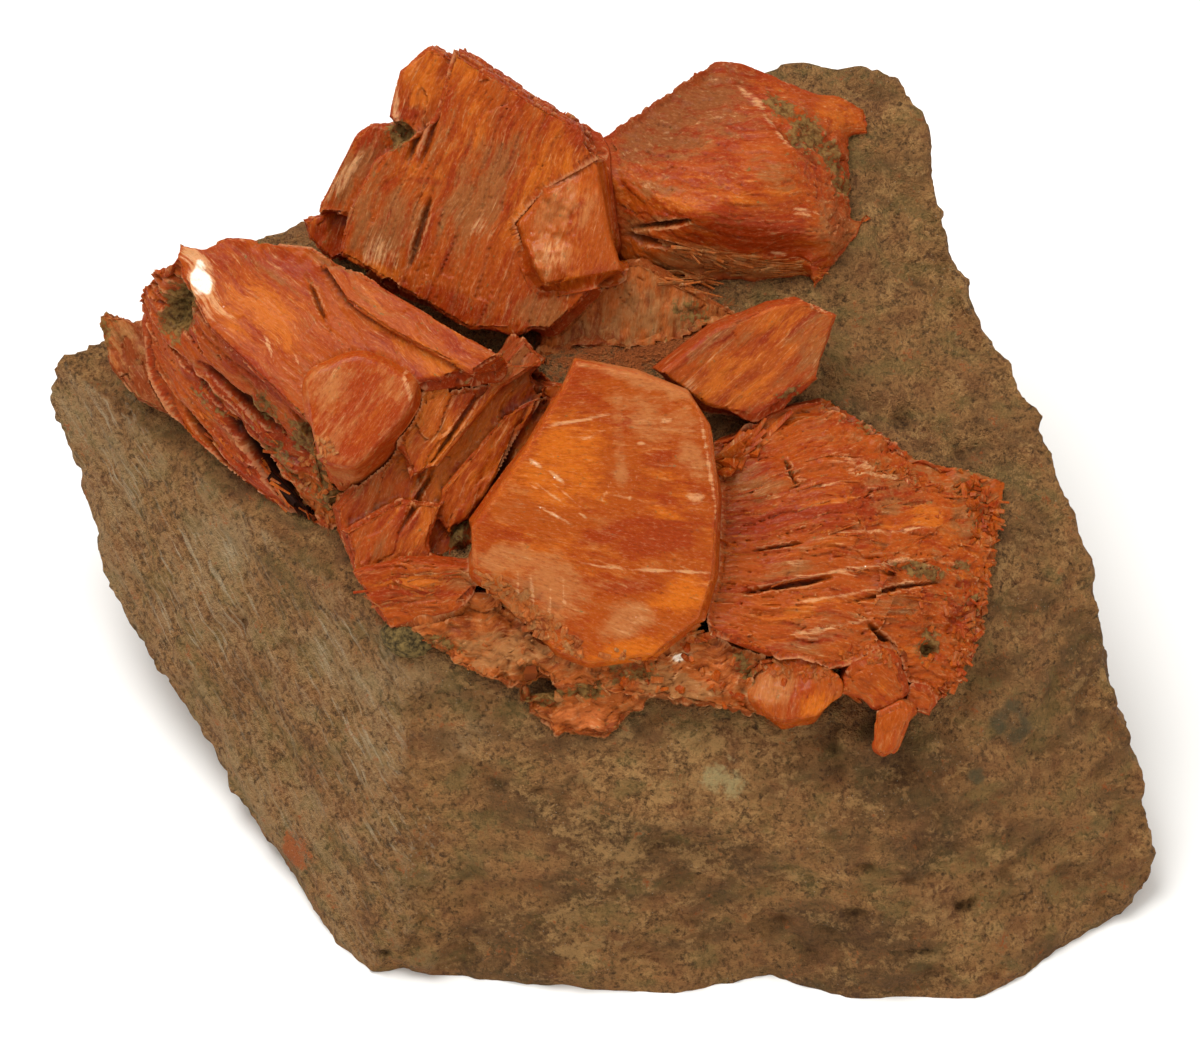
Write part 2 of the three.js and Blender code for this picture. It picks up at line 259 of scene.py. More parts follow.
class Maker:
    """Makes the nodes of one material."""

    def __init__(self, name: str) -> None:
        """Starts a material with no nodes in it.

        Args:
            name: The material's name.
        """
        self.material = bpy.data.materials.new(name)
        self.material.use_nodes = True
        self.tree = self.material.node_tree
        self.tree.nodes.clear()

    def node(
        self, kind: str, settings: dict[str, object], sockets: dict[int | str, object]
    ) -> bpy.types.Node:
        """Adds one node.

        Args:
            kind: The node's type, without the start that all shader nodes share.
            settings: What is chosen on the node itself, set before its sockets.
            sockets: A value, or a term to link, for each socket that is used.

        Returns:
            The new node.
        """
        made = self.tree.nodes.new("ShaderNode" + kind)
        for name, value in settings.items():
            setattr(made, name, value)
        for name, value in sockets.items():
            if isinstance(value, Term):
                self.tree.links.new(value.socket, made.inputs[name])
            else:
                made.inputs[name].default_value = value
        return made

    def term(
        self,
        kind: str,
        settings: dict[str, object],
        sockets: dict[int | str, object],
        out: int | str = 0,
    ) -> Term:
        """Adds one node and gives one of its outputs."""
        return Term(self, self.node(kind, settings, sockets).outputs[out])

    def attribute(self, name: str, out: str = "Fac") -> Term:
        """Reads one of the piece's own attributes."""
        return self.term("Attribute", {"attribute_name": name}, {}, out)

    def places(self) -> Term:
        """Object coordinates in millimetres."""
        metres = self.term("TexCoord", {}, {}, "Object")
        return self.term("VectorMath", {"operation": "SCALE"}, {0: metres, "Scale": PER_METRE})

    def stretched(self, vector: Term, by: tuple[float, float, float]) -> Term:
        """The vector with each of its parts scaled."""
        return self.term("VectorMath", {"operation": "MULTIPLY"}, {0: vector, 1: by})

    def grain(
        self, vector: Term, scale: float, detail: float = 2.0, rough: float = 0.5, kind: float = 0.0
    ) -> Term:
        """Smooth noise around a half, over the vector, with the kind picking one of many."""
        sockets = {"Vector": vector, "Scale": scale, "Detail": detail, "Roughness": rough, "W": kind}
        return self.term("TexNoise", {"noise_dimensions": "4D"}, sockets, "Fac")

    def cells(self, vector: Term, scale: float, out: str = "Distance") -> Term:
        """A pattern of small cells over the vector."""
        return self.term("TexVoronoi", {"feature": "F1"}, {"Vector": vector, "Scale": scale}, out)

    def mixed(self, share: Term, low: object, high: object, blend: str = "MIX") -> Term:
        """Goes from the low colour to the high one with the share."""
        settings = {"data_type": "RGBA", "blend_type": blend, "clamp_factor": True}
        return self.term("Mix", settings, {0: share, 6: low, 7: high}, 2)

    def bumped(self, strength: float, depth: float, height: Term) -> Term:
        """Tilts the surface as if it had the height, with the depth in millimetres."""
        sockets = {"Strength": strength, "Distance": depth * MM, "Height": height}
        return self.term("Bump", {}, sockets, "Normal")

    def finish(self, sockets: dict[int | str, object]) -> bpy.types.Material:
        """Adds the surface and links it to the material's output.

        Args:
            sockets: A value, or a term to link, for each socket of the surface that is used.

        Returns:
            The finished material.
        """
        surface = self.node("BsdfPrincipled", {}, sockets)
        output = self.node("OutputMaterial", {}, {})
        self.tree.links.new(surface.outputs[0], output.inputs["Surface"])
        return self.material


class Mark(Enum):
    """What sets a stretch of a face apart. Each is an attribute of the finished mesh."""

    GLOW = "glow"
    DEEP = "deep"
    VEIL = "veil"
    SOIL = "soil"
    # Pale streaks, and where strongest a white glare painted as a highlight.
    PALE_AND_GLARE = "pale"
    # A real hollow carved into the face, with its deepest part painted near black as shadow.
    SHADED_HOLLOW = "shaded_hollow"
    SUNK = "sunk"
    ROUGH = "rough"


GLOW, DEEP, VEIL, SOIL, PALE_AND_GLARE, SHADED_HOLLOW, SUNK, ROUGH = Mark


@dataclass(frozen=True)
class Patch:
    """A stretch of a crystal's face that differs from the rest.

    Place and reach are in millimetres along the face, from the middle of the crystal's box.
    """

    mark: Mark
    place: tuple[float, float]
    reach: tuple[float, float]
    turn: float = 0.0
    amount: float = 1.0

    def over(self, spots: np.ndarray) -> np.ndarray:
        """How strongly the patch shows at each spot.

        Args:
            spots: Places along the face, in millimetres, with the height over it last.

        Returns:
            One number from 0 to the patch's amount for each spot.
        """
        turn = math.radians(self.turn)
        away = spots[:, :2] - np.array(self.place)
        along = away @ np.array([math.cos(turn), math.sin(turn)])
        across = away @ np.array([-math.sin(turn), math.cos(turn)])
        far = np.hypot(along / self.reach[0], across / self.reach[1])
        ragged = 0.35 * fractal(spots, 2.3, 31) + 0.25 * fractal(spots, 0.7, 47, 2)
        return self.amount * eased(-(far + ragged), -1.45, -0.35)


@dataclass(frozen=True)
class HeulanditeFinish:
    """One shade of heulandite, from clear orange to a dull brown red.

    Weave is how fine the mottling is across, along and through the fibres, in turns a millimetre, and
    side shade is how much painted shade darkens the side faces. Reach is how deep light goes in, in
    millimetres, with each colour's share of it, and relief is the height of the fine fibres.
    """

    name: str
    slot: str
    deep: int
    body: int
    bright: int
    veil: int
    weave: tuple[float, float, float]
    gloss: float
    coat: float
    dulling: float
    streaky: float
    side_shade: float
    clear: float
    ior: float = 1.5
    specular: float = 0.08
    coat_rough: float = 0.15
    reach: float = 0.7
    colour_reach: tuple[float, float, float] = (1.0, 0.32, 0.1)
    relief: float = 0.14

    def _colour(self, maker: Maker, marks: dict[Mark, Term], fine: Term, needles: Term) -> Term:
        """Mixes the stone's colour, with painted shade on the side faces and painted glare and sparkles.

        Args:
            maker: Makes the nodes.
            marks: How strongly each mark shows.
            fine: Fine mottling.
            needles: Hair-fine fibres.

        Returns:
            The colour before the painted edge highlight, painted crevice and hollow shade, and dirt.
        """
        fibre = maker.attribute("fibre", "Vector")
        place = maker.places()
        woven = maker.stretched(fibre, self.weave)
        mottle = maker.grain(woven, 1.0, 5.0, 0.62)
        warm = maker.grain(woven, 0.8, 5.0, 0.62, 3.0)
        dusty = maker.grain(woven, 1.15, 5.0, 0.65, 7.0)
        clouds = maker.grain(place, 0.22, 4.0, 0.55)
        bundle = maker.attribute("bundle") - 0.5
        tone = maker.attribute("tone") - 0.5

        depth = 0.7 + 2.6 * (mottle - 0.5) + 1.8 * (clouds - 0.5) + 2.0 * (fine - 0.5)
        depth = depth + 0.35 * tone + 0.3 * bundle - 0.7 * marks[DEEP]
        colour = maker.mixed(depth.above(0.0, 0.9), linear(self.deep), linear(self.body))
        heat = 4.0 * (warm - 0.5) + 0.3 * bundle + marks[GLOW] - marks[DEEP] + 2.4 * (fine - 0.5)
        colour = maker.mixed((heat - 0.2).above(0.0, 1.0) * 0.9, colour, linear(self.bright))
        dust = 4.0 * (dusty - 0.5) + self.dulling + marks[VEIL] - 0.7 * marks[GLOW]
        dust = dust + marks[ROUGH] * (0.9 * tone + 0.2)
        dust = (dust + 0.4 * tone + 2.6 * (fine - 0.5) - 0.2).above(0.0, 1.1) * 0.8
        colour = maker.mixed(dust, colour, linear(self.veil))
        # Painted shade: faces that turn away from the crystal's face are darkened towards the deep
        # colour.
        side = maker.attribute("side") * self.side_shade
        colour = maker.mixed(side * (0.3 + 0.7 * mottle), colour, linear(self.deep))
        # Pale streaks along the fibres, partly the stone's own and partly painted highlight; strong pale
        # marks add painted glare.
        streak = (needles - 0.56).above(0.0, 0.2) * (0.2 + 0.4 * marks[VEIL] + 0.3 * marks[GLOW])
        flecked = 4.0 * (needles - 0.5) * self.streaky + 3.0 * (fine - 0.5)
        streak = streak * self.streaky + (marks[PALE_AND_GLARE] + flecked - 0.3).above(0.0, 0.9)
        colour = maker.mixed(streak.held() * 0.6, colour, linear(PALE_AND_HIGHLIGHT))
        # Painted highlight: white glare where the pale mark is strongest.
        colour = maker.mixed((marks[PALE_AND_GLARE] + fine - 1.6).above(0.0, 0.4), colour, linear(PAINTED_GLINT))
        # Painted sparkles: small white highlights over the brighter clouds.
        painted_sparkles = (0.09 - maker.cells(place, 1.1)).above(0.0, 0.05)
        lit = (clouds + 0.2 * marks[PALE_AND_GLARE] - 0.6).above(0.0, 0.1)
        return maker.mixed(painted_sparkles * lit * 0.8, colour, linear(PAINTED_GLINT))

    def material(self) -> bpy.types.Material:
        """Makes the shade's material.

        Returns:
            A glossy stone that light goes a little way into, mottled along its fibres.
        """
        maker = Maker(self.name)
        fibre = maker.attribute("fibre", "Vector")
        place = maker.places()
        fine = maker.grain(maker.stretched(fibre, (2.6, 0.7, 2.2)), 1.0, 5.0, 0.72)
        needles = maker.grain(maker.stretched(fibre, (4.4, 0.22, 3.0)), 1.0, 4.0, 0.62)
        marks = {mark: maker.attribute(mark.value) for mark in Mark if mark is not SUNK}
        colour = self._colour(maker, marks, fine, needles)
        rim, low, side = (maker.attribute(name) for name in ("rim", "low", "side"))
        # Painted highlight: convex edges and fibre ridges are lightened.
        colour = maker.mixed((rim + fine - 0.8).above(0.0, 0.6) * 0.3, colour, linear(PALE_AND_HIGHLIGHT))
        flecks = maker.grain(maker.stretched(fibre, (7.0, 2.6, 6.0)), 1.0, 3.0, 0.75)
        colour = maker.mixed((flecks - 0.52).above(0.0, 0.2) * 0.22, colour, linear(PALE_AND_HIGHLIGHT))
        # Painted shade in the mesh's dips, with dark lines between the fibres.
        crevice_shade_and_dark_fibres = low * 0.6 + (0.45 - needles).above(0.0, 0.16) * 0.3 * self.streaky
        crevice_shade_and_dark_fibres = crevice_shade_and_dark_fibres + (0.49 - flecks).above(0.0, 0.2) * 0.4
        colour = maker.mixed(crevice_shade_and_dark_fibres.held(), colour, linear(CREVICE_SHADE))
        # Painted shadow: the deepest part of each hollow is painted near black.
        shaded_hollow = marks[SHADED_HOLLOW].above(0.0, 1.3)
        colour = maker.mixed(shaded_hollow * 0.95, colour, linear(PAINTED_GAP_SHADOW))
        crumbs = maker.grain(place, 2.2, 4.0, 0.65)
        soiled = (marks[SOIL] + (crumbs - 0.5) * 3.0 + (fine - 0.5) * 2.4 - 0.45).above(0.0, 0.4)
        dirt = maker.mixed((crumbs - 0.35).above(0.0, 0.3), linear(SOIL_DARK), linear(SOIL_PALE))
        colour = maker.mixed(soiled * 0.85, colour, dirt)

        dull = 0.2 * marks[VEIL] + 0.35 * (fine - 0.5) + 0.4 * soiled + 0.25 * side + 0.7 * shaded_hollow
        ridges = 0.8 * fine + self.streaky * 0.7 * needles + 0.6 * soiled * crumbs
        sockets = {
            "Base Color": colour,
            "Roughness": (self.gloss + dull).held(),
            "Normal": maker.bumped(0.6, self.relief, ridges),
            "IOR": self.ior,
            "Specular IOR Level": self.specular,
            "Subsurface Weight": self.clear,
            "Subsurface Radius": self.colour_reach,
            "Subsurface Scale": self.reach * MM,
            "Coat Weight": self.coat,
            "Coat Roughness": self.coat_rough,
        }
        return maker.finish(sockets)


# Pale of the fibre streaks, also used for painted highlights on convex edges and glare.
PALE_AND_HIGHLIGHT = 0xDCA672
# White of painted highlights: glare and sparkles painted into the crystals' colour.
PAINTED_GLINT = 0xFFF0DC
# Dark red of painted shade in crevices and of dark lines between fibres.
CREVICE_SHADE = 0x4A1C08
# Near black of the painted shadow in deep hollows and gaps.
PAINTED_GAP_SHADOW = 0x160A05
SOIL_DARK = 0x34260F
SOIL_PALE = 0x806436
ORANGE = HeulanditeFinish(
    "orange_heulandite", "heulandite_orange", deep=0x963404, body=0xA44808, bright=0xC6640E,
    veil=0xB26C38, weave=(0.42, 0.16, 0.42), gloss=0.3, coat=0.1, dulling=0.1, streaky=0.5,
    side_shade=0.4, clear=0.3,
)
RED = HeulanditeFinish(
    "red_heulandite", "heulandite_red", deep=0x8C2C04, body=0xA0440A, bright=0xBA5E14,
    veil=0x90562A, weave=(1.0, 0.24, 0.8), gloss=0.38, coat=0.04, dulling=0.15, streaky=0.7,
    side_shade=1.0, clear=0.15,
)
BROWN_RED = HeulanditeFinish(
    "brown_red_heulandite", "heulandite_brown_red", deep=0x7C3410, body=0xA6541E, bright=0xBE6630,
    veil=0x9C6A3C, weave=(1.0, 0.5, 0.9), gloss=0.48, coat=0.0, dulling=0.35, streaky=0.6,
    side_shade=1.0, clear=0.1,
)


@dataclass(frozen=True)
class Flow:
    """How the fibres of a crystal run along its face.

    The grain is in degrees from level. The fan is where the fibres would meet, in millimetres along
    the face from the crystal's middle. Bow, wave and curl are in millimetres.
    """

    grain: float = 90.0
    fan: tuple[float, float] | None = None
    bow: float = 0.0
    wave: float = 0.0
    wave_length: float = 7.0
    curl: float = 0.0

    def turned(self) -> np.ndarray:
        """Which way is across, along and out from the fibres.

        Returns:
            The three directions as rows, in the face's own directions.
        """
        grain = math.radians(self.grain)
        across = [math.sin(grain), -math.cos(grain), 0]
        along = [math.cos(grain), math.sin(grain), 0]
        return np.array([across, along, [0, 0, 1]])

    def _middle(self) -> tuple[float, float, float]:
        """Where the fan's middle is across and along the fibres, and how far away it is."""
        across, along, _ = self.turned() @ np.array([*self.fan, 0.0])
        return across, along, math.hypot(across, along)

    def _drift(self, along: np.ndarray) -> np.ndarray:
        """How far a fibre strays to the side along its length.

        Args:
            along: Places along the fibres, in millimetres.

        Returns:
            One number for each place, in millimetres.
        """
        turns = 2 * math.pi * along / self.wave_length
        waves = np.sin(turns + 0.7) + 0.5 * np.sin(2.3 * turns + 2.0)
        return self.bow * (along / 10) ** 2 + self.wave * waves

    def _lift(self, across: np.ndarray, along: np.ndarray) -> np.ndarray:
        """How far a sheet curls out of its plane."""
        ripple = np.sin(0.45 * across + 0.3 * along + 1)
        return self.curl * (ripple + 0.5 * np.sin(0.9 * along - 0.7 * across))

    def straighten(self, places: np.ndarray) -> np.ndarray:
        """Moves points so that every fibre runs straight and every sheet lies flat.

        Args:
            places: Points across, along and out, in millimetres.

        Returns:
            The moved points.
        """
        across, along, out = places.T
        if self.fan:
            middle_across, middle_along, away = self._middle()
            reach = np.hypot(across - middle_across, along - middle_along)
            across = away * np.arctan2(across - middle_across, along - middle_along)
            along = reach - away
        across = across - self._drift(along)
        return np.stack([across, along, out - self._lift(across, along)], axis=-1)

    def bend(self, places: np.ndarray) -> np.ndarray:
        """Undoes what straighten did.

        Args:
            places: Straightened points, in millimetres.

        Returns:
            The points where they were.
        """
        across, along, out = places.T
        out = out + self._lift(across, along)
        across = across + self._drift(along)
        if self.fan:
            middle_across, middle_along, away = self._middle()
            turn = across / away
            reach = along + away
            across = middle_across + reach * np.sin(turn)
            along = middle_along + reach * np.cos(turn)
        return np.stack([across, along, out], axis=-1)

    def heading(self, right: float, up: float) -> float:
        """Which way the fibres run at a place on the face.

        Args:
            right: How far to the right of the face's middle the place is, in millimetres.
            up: How far up it is, in millimetres.

        Returns:
            The fibres' direction in radians from level.
        """
        turned = self.turned()
        start = self.straighten((turned @ np.array([right, up, 0.0]))[None])
        ends = self.bend(np.concatenate([start, start + np.array([[0.0, 0.2, 0.0]])])) @ turned
        run = ends[1] - ends[0]
        return math.atan2(run[1], run[0])


def rows_of(items: bpy.types.bpy_prop_collection, name: str, width: int, kind: type) -> np.ndarray:
    """Reads one property of all of a mesh's points or edges.

    Args:
        items: The points or edges.
        name: The property.
        width: How many numbers it has.
        kind: The numbers' type.

    Returns:
        One row for each point or edge.
    """
    flat = np.empty(width * len(items), kind)
    items.foreach_get(name, flat)
    return flat.reshape(-1, width)


def points_of(mesh: bpy.types.Mesh) -> np.ndarray:
    """The mesh's points as rows."""
    return rows_of(mesh.vertices, "co", 3, np.float32).astype(float)


def normals_of(mesh: bpy.types.Mesh) -> np.ndarray:
    """The directions of the mesh's points as rows."""
    return rows_of(mesh.vertex_normals, "vector", 3, np.float32).astype(float)


def edges_of(mesh: bpy.types.Mesh) -> np.ndarray:
    """The two points of each of the mesh's edges as rows."""
    return rows_of(mesh.edges, "vertices", 2, np.int32)


def move_points(mesh: bpy.types.Mesh, places: np.ndarray) -> None:
    """Puts the mesh's points in new places."""
    mesh.vertices.foreach_set("co", places.astype(np.float32).ravel())
    mesh.update()


def store(mesh: bpy.types.Mesh, name: str, values: np.ndarray) -> None:
    """Keeps values for each point as an attribute of the mesh.

    Args:
        mesh: The mesh.
        name: The attribute.
        values: One number, or one row of three, for each point.
    """
    kind, label = ("FLOAT_VECTOR", "vector") if values.ndim == 2 else ("FLOAT", "value")
    attribute = mesh.attributes.new(name, kind, "POINT")
    attribute.data.foreach_set(label, values.astype(np.float32).ravel())


def inside_box(places: np.ndarray) -> np.ndarray:
    """Keeps points, in metres, within the whole object's box."""
    low, high = (np.array(corner) for corner in CAD_BOX)
    return np.clip(places, low, high)


def mesh_of(name: str, bm: bmesh.types.BMesh) -> bpy.types.Mesh:
    """Turns a shape into a mesh, and frees the shape.

    Args:
        name: The new mesh's name.
        bm: The shape.

    Returns:
        The new mesh.
    """
    mesh = bpy.data.meshes.new(name)
    bm.to_mesh(mesh)
    bm.free()
    return mesh


def finished_object(mesh: bpy.types.Mesh, sharp: float = 60.0) -> bpy.types.Object:
    """Makes an object of a mesh that is in metres and in its place.

    Args:
        mesh: The mesh, whose name the object takes.
        sharp: The angle in degrees from which an edge looks sharp.

    Returns:
        The object, linked to the scene.
    """
    bm = bmesh.new()
    bm.from_mesh(mesh)
    bmesh.ops.triangulate(bm, faces=bm.faces[:])
    bm.to_mesh(mesh)
    bm.free()
    mesh.shade_smooth()
    mesh.set_sharp_from_angle(angle=math.radians(sharp))
    piece = bpy.data.objects.new(mesh.name, mesh)
    bpy.context.scene.collection.objects.link(piece)
    return piece


def even_mesh(node: str, voxel: float) -> bpy.types.Mesh:
    """A plain body's mesh made even.

    Args:
        node: The body's name.
        voxel: How far apart the new mesh's points are, in millimetres.

    Returns:
        The even mesh, in metres.
    """
    plain = bpy.data.objects.new("plain_body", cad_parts[node].data.copy())
    bpy.context.scene.collection.objects.link(plain)
    remesh = plain.modifiers.new("even", "REMESH")
    remesh.mode = "VOXEL"
    remesh.voxel_size = voxel * MM
    mesh = bpy.data.meshes.new_from_object(plain.evaluated_get(bpy.context.evaluated_depsgraph_get()))
    bpy.data.objects.remove(plain)
    mesh.materials.clear()
    return mesh


def evened(places: np.ndarray, edges: np.ndarray, rounds: int) -> np.ndarray:
    """Moves each point to the middle of its neighbours.

    Args:
        places: The mesh's points.
        edges: The two points of each edge.
        rounds: How many times to do it.

    Returns:
        The new places.
    """
    count = np.bincount(edges.ravel(), minlength=len(places))[:, None]
    for _ in range(rounds):
        total = [np.bincount(edges.ravel(), places[edges[:, ::-1].ravel(), axis]) for axis in range(3)]
        places = np.stack(total, axis=-1) / np.maximum(count, 1)
    return places


def dips(places: np.ndarray, normals: np.ndarray, edges: np.ndarray) -> np.ndarray:
    """How deep each point lies among its neighbours, and below 0 how far it stands out."""
    return ((evened(places, edges, 3) - places) * normals).sum(axis=-1)


# Bundles of laths and single laths: attribute, size in laths, share of the relief, and seed.
LEVELS = (("bundle", 2.8, 0.6, 0), ("tone", 1.0, 0.4, 20))


@dataclass
class Crystal:
    """One crystal, or a sheaf or book of them, made of laths side by side and on each other.

    The facing is the way its face looks: degrees turned to the right, and tilted up. A lath has a mean
    width, length and thickness. Relief, fray and ledge are how far back its face, its end and its side
    may stand. Swell is how far the face rolls and roll how wide the rolls are. Grit is the height of
    the grains on it, and voxel how far apart the mesh's points are. Join is how far it grows towards a
    neighbour within the join reach. All of these are in millimetres. Soft is how often the plain
    body's edges are evened out first.
    """

    node: str
    finish: HeulanditeFinish
    facing: tuple[float, float]
    flow: Flow = Flow()
    lath: tuple[float, float, float] = (0.45, 3.2, 0.5)
    relief: float = 0.2
    fray: float = 0.5
    ledge: float = 0.3
    swell: float = 0.2
    roll: float = 3.5
    patches: tuple[Patch, ...] = ()
    seed: int = 0
    grit: float = 0.0
    voxel: float = 0.16
    join: float = 0.24
    join_reach: float = 0.6
    soft: int = 0

    def frame(self) -> tuple[np.ndarray, np.ndarray]:
        """Where the crystal is and which way its face looks.

        Returns:
            The face's own directions as rows, right, up and out, and the middle of the crystal's box in
            millimetres.
        """
        turn, tilt = (math.radians(angle) for angle in self.facing)
        level = math.cos(tilt)
        out = np.array([math.sin(turn) * level, -math.cos(turn) * level, math.sin(tilt)])
        right = np.array([math.cos(turn), math.sin(turn), 0.0])
        low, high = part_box(self.node)
        middle = np.array((low + high) / 2) * PER_METRE
        return np.stack([right, np.cross(out, right), out]), middle

    def _laths(self, straight: np.ndarray) -> tuple[np.ndarray, dict[str, np.ndarray]]:
        """How far back the laths' sides, ends and faces stand at each point.

        Args:
            straight: Straightened points, across, along and out in millimetres.

        Returns:
            Three numbers for each point, for sides, ends and faces, and what the material reads.
        """
        wide, long, thick = self.lath
        drawn_out = straight * np.array([1.0, 0.4, 1.0])
        warp = np.stack([noise(drawn_out, 2.2, self.seed + kind) for kind in (61, 62, 63)], axis=-1)
        moved = straight + warp * np.array([0.7 * wide, 0.2 * long, 0.5 * thick])
        steps = np.zeros_like(straight)
        shown = {}
        for name, times, weight, seed in LEVELS:
            size = (wide * times, long * times**0.6, thick * times)
            cell, inside, gap = long_cells(moved, size, self.seed + seed)
            lean = 2 * hashed(cell, self.seed + seed + 5) - 1
            slope = inside[:, 0] * lean + inside[:, 1] * (2 * hashed(cell, self.seed + seed + 6) - 1)
            level = hashed(cell, self.seed + seed + 7)
            groove = 1 - eased(gap, 0.0, 0.12)
            down = self.relief * (level + 0.9 * slope)
            back = np.stack([self.ledge * level, self.fray * level**1.6, down], axis=-1)
            steps -= weight * back + (0.25 * weight * self.relief * groove)[:, None]
            shown[name] = hashed(cell, self.seed + seed + 8)
        rolled = straight * np.array([1.0, 0.45, 1.0])
        rolling = 0.5 + 0.5 * fractal(rolled, self.roll, self.seed + 4, 3)
        steps[:, 2] -= self.swell * rolling
        return steps, shown

    def _reach_out(
        self, places: np.ndarray, normals: np.ndarray, others: BVHTree
    ) -> tuple[np.ndarray, np.ndarray]:
        """How close each point is to another piece, and which way to grow to meet it.

        Args:
            places: Points in millimetres.
            normals: Their directions.
            others: The surfaces of the other pieces, in metres.

        Returns:
            A number from 0 to 1, and a direction along the face or down from it, for each point.
        """
        found = np.array([others.find_nearest(place)[0] for place in places * MM]) * PER_METRE
        away = found - places
        far = np.linalg.norm(away, axis=-1)
        towards = away / np.maximum(far, TINY)[:, None]
        close = 1 - eased(far, self.join_reach, 2 * self.join_reach)
        close *= eased((normals * towards).sum(axis=-1), 0.25, 0.7)
        out = self.frame()[0][2]
        return close, towards - np.outer(np.maximum(towards @ out, 0), out)

    def _shows(self, mark: Mark, spots: np.ndarray) -> np.ndarray:
        """How strongly one kind of mark shows at each spot."""
        found = [patch.over(spots) for patch in self.patches if patch.mark is mark]
        return np.max(found, axis=0) if found else np.zeros(len(spots))

    def _broken(
        self,
        places: np.ndarray,
        straight: np.ndarray,
        facing: np.ndarray,
        shows: dict[Mark, np.ndarray],
    ) -> np.ndarray:
        """How far the hollows, crumbs and rough stretches stand out, and below 0 how deep they lie.

        Args:
            places: Points in millimetres.
            straight: The same points straightened.
            facing: How squarely each point faces across, along and out.
            shows: How strongly each mark shows.

        Returns:
            One number for each point, in millimetres.
        """
        depth = -shows[SHADED_HOLLOW] * eased(facing[:, 2], 0.2, 0.6)
        depth += self.grit * (0.5 - nearest_grain(places, 1.1, 75) + 0.4 * fractal(places, 1.0, 77, 3))
        soil = 0.1 + 0.3 * fractal(places, 0.8, 71, 2) - 0.25 * nearest_grain(places, 0.6, 73)
        knots = 0.42 - 0.85 * nearest_grain(straight * np.array([1.0, 0.6, 1.0]), 1.1, 83)
        knots += 0.3 * fractal(places, 0.8, 85, 3)
        return depth + shows[SOIL] * soil + shows[ROUGH] * knots

    def build(self, others: BVHTree) -> bpy.types.Object:
        """Breaks the crystal's surface up into laths.

        Args:
            others: The surfaces of the other pieces, in metres.

        Returns:
            The finished piece, which stands for the crystal's plain body.
        """
        mesh = even_mesh(self.node, self.voxel)
        mesh.name = self.node + "_crystal"
        edges = edges_of(mesh)
        places = evened(points_of(mesh) * PER_METRE, edges, self.soft)
        move_points(mesh, places * MM)
        normals = normals_of(mesh)
        face, middle = self.frame()
        turned = self.flow.turned() @ face
        local = (places - middle) @ turned.T
        facing = np.abs(normals @ turned.T)
        straight = self.flow.straighten(local)
        steps, shown = self._laths(straight)
        spots = local @ self.flow.turned()
        shows = {mark: self._shows(mark, spots) for mark in Mark}
        close, towards = self._reach_out(places, normals, others)
        flat_on = eased(facing[:, :2], 0.3, 0.9) * (1 - close[:, None])
        share = np.concatenate([flat_on, facing[:, 2:]], axis=-1)
        depth = (share * steps).sum(axis=-1) + self._broken(places, straight, facing, shows)
        moved = places + normals * depth[:, None] + towards * (self.join * close)[:, None]
        moved -= shows[SUNK][:, None] * face[2]
        dip = dips(moved, normals, edges)
        move_points(mesh, inside_box(moved * MM))
        piece = finished_object(mesh)
        store(piece.data, "fibre", straight + self.seed * FIBRE_STEP)
        # How deep each point lies, which the material darkens as painted shade.
        store(piece.data, "low", eased(dip, 0.02, 0.16))
        # How far each point stands out, which the material lightens as painted highlight.
        store(piece.data, "rim", eased(-dip, 0.02, 0.14))
        # How far each point turns from the crystal's face, which the material darkens as painted shade.
        store(piece.data, "side", 1 - eased(facing[:, 2], 0.25, 0.75))
        for name, values in (shown | {mark.value: shows[mark] for mark in Mark}).items():
            store(piece.data, name, values)
        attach(piece, BODY)
        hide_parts(self.node)
        return piece


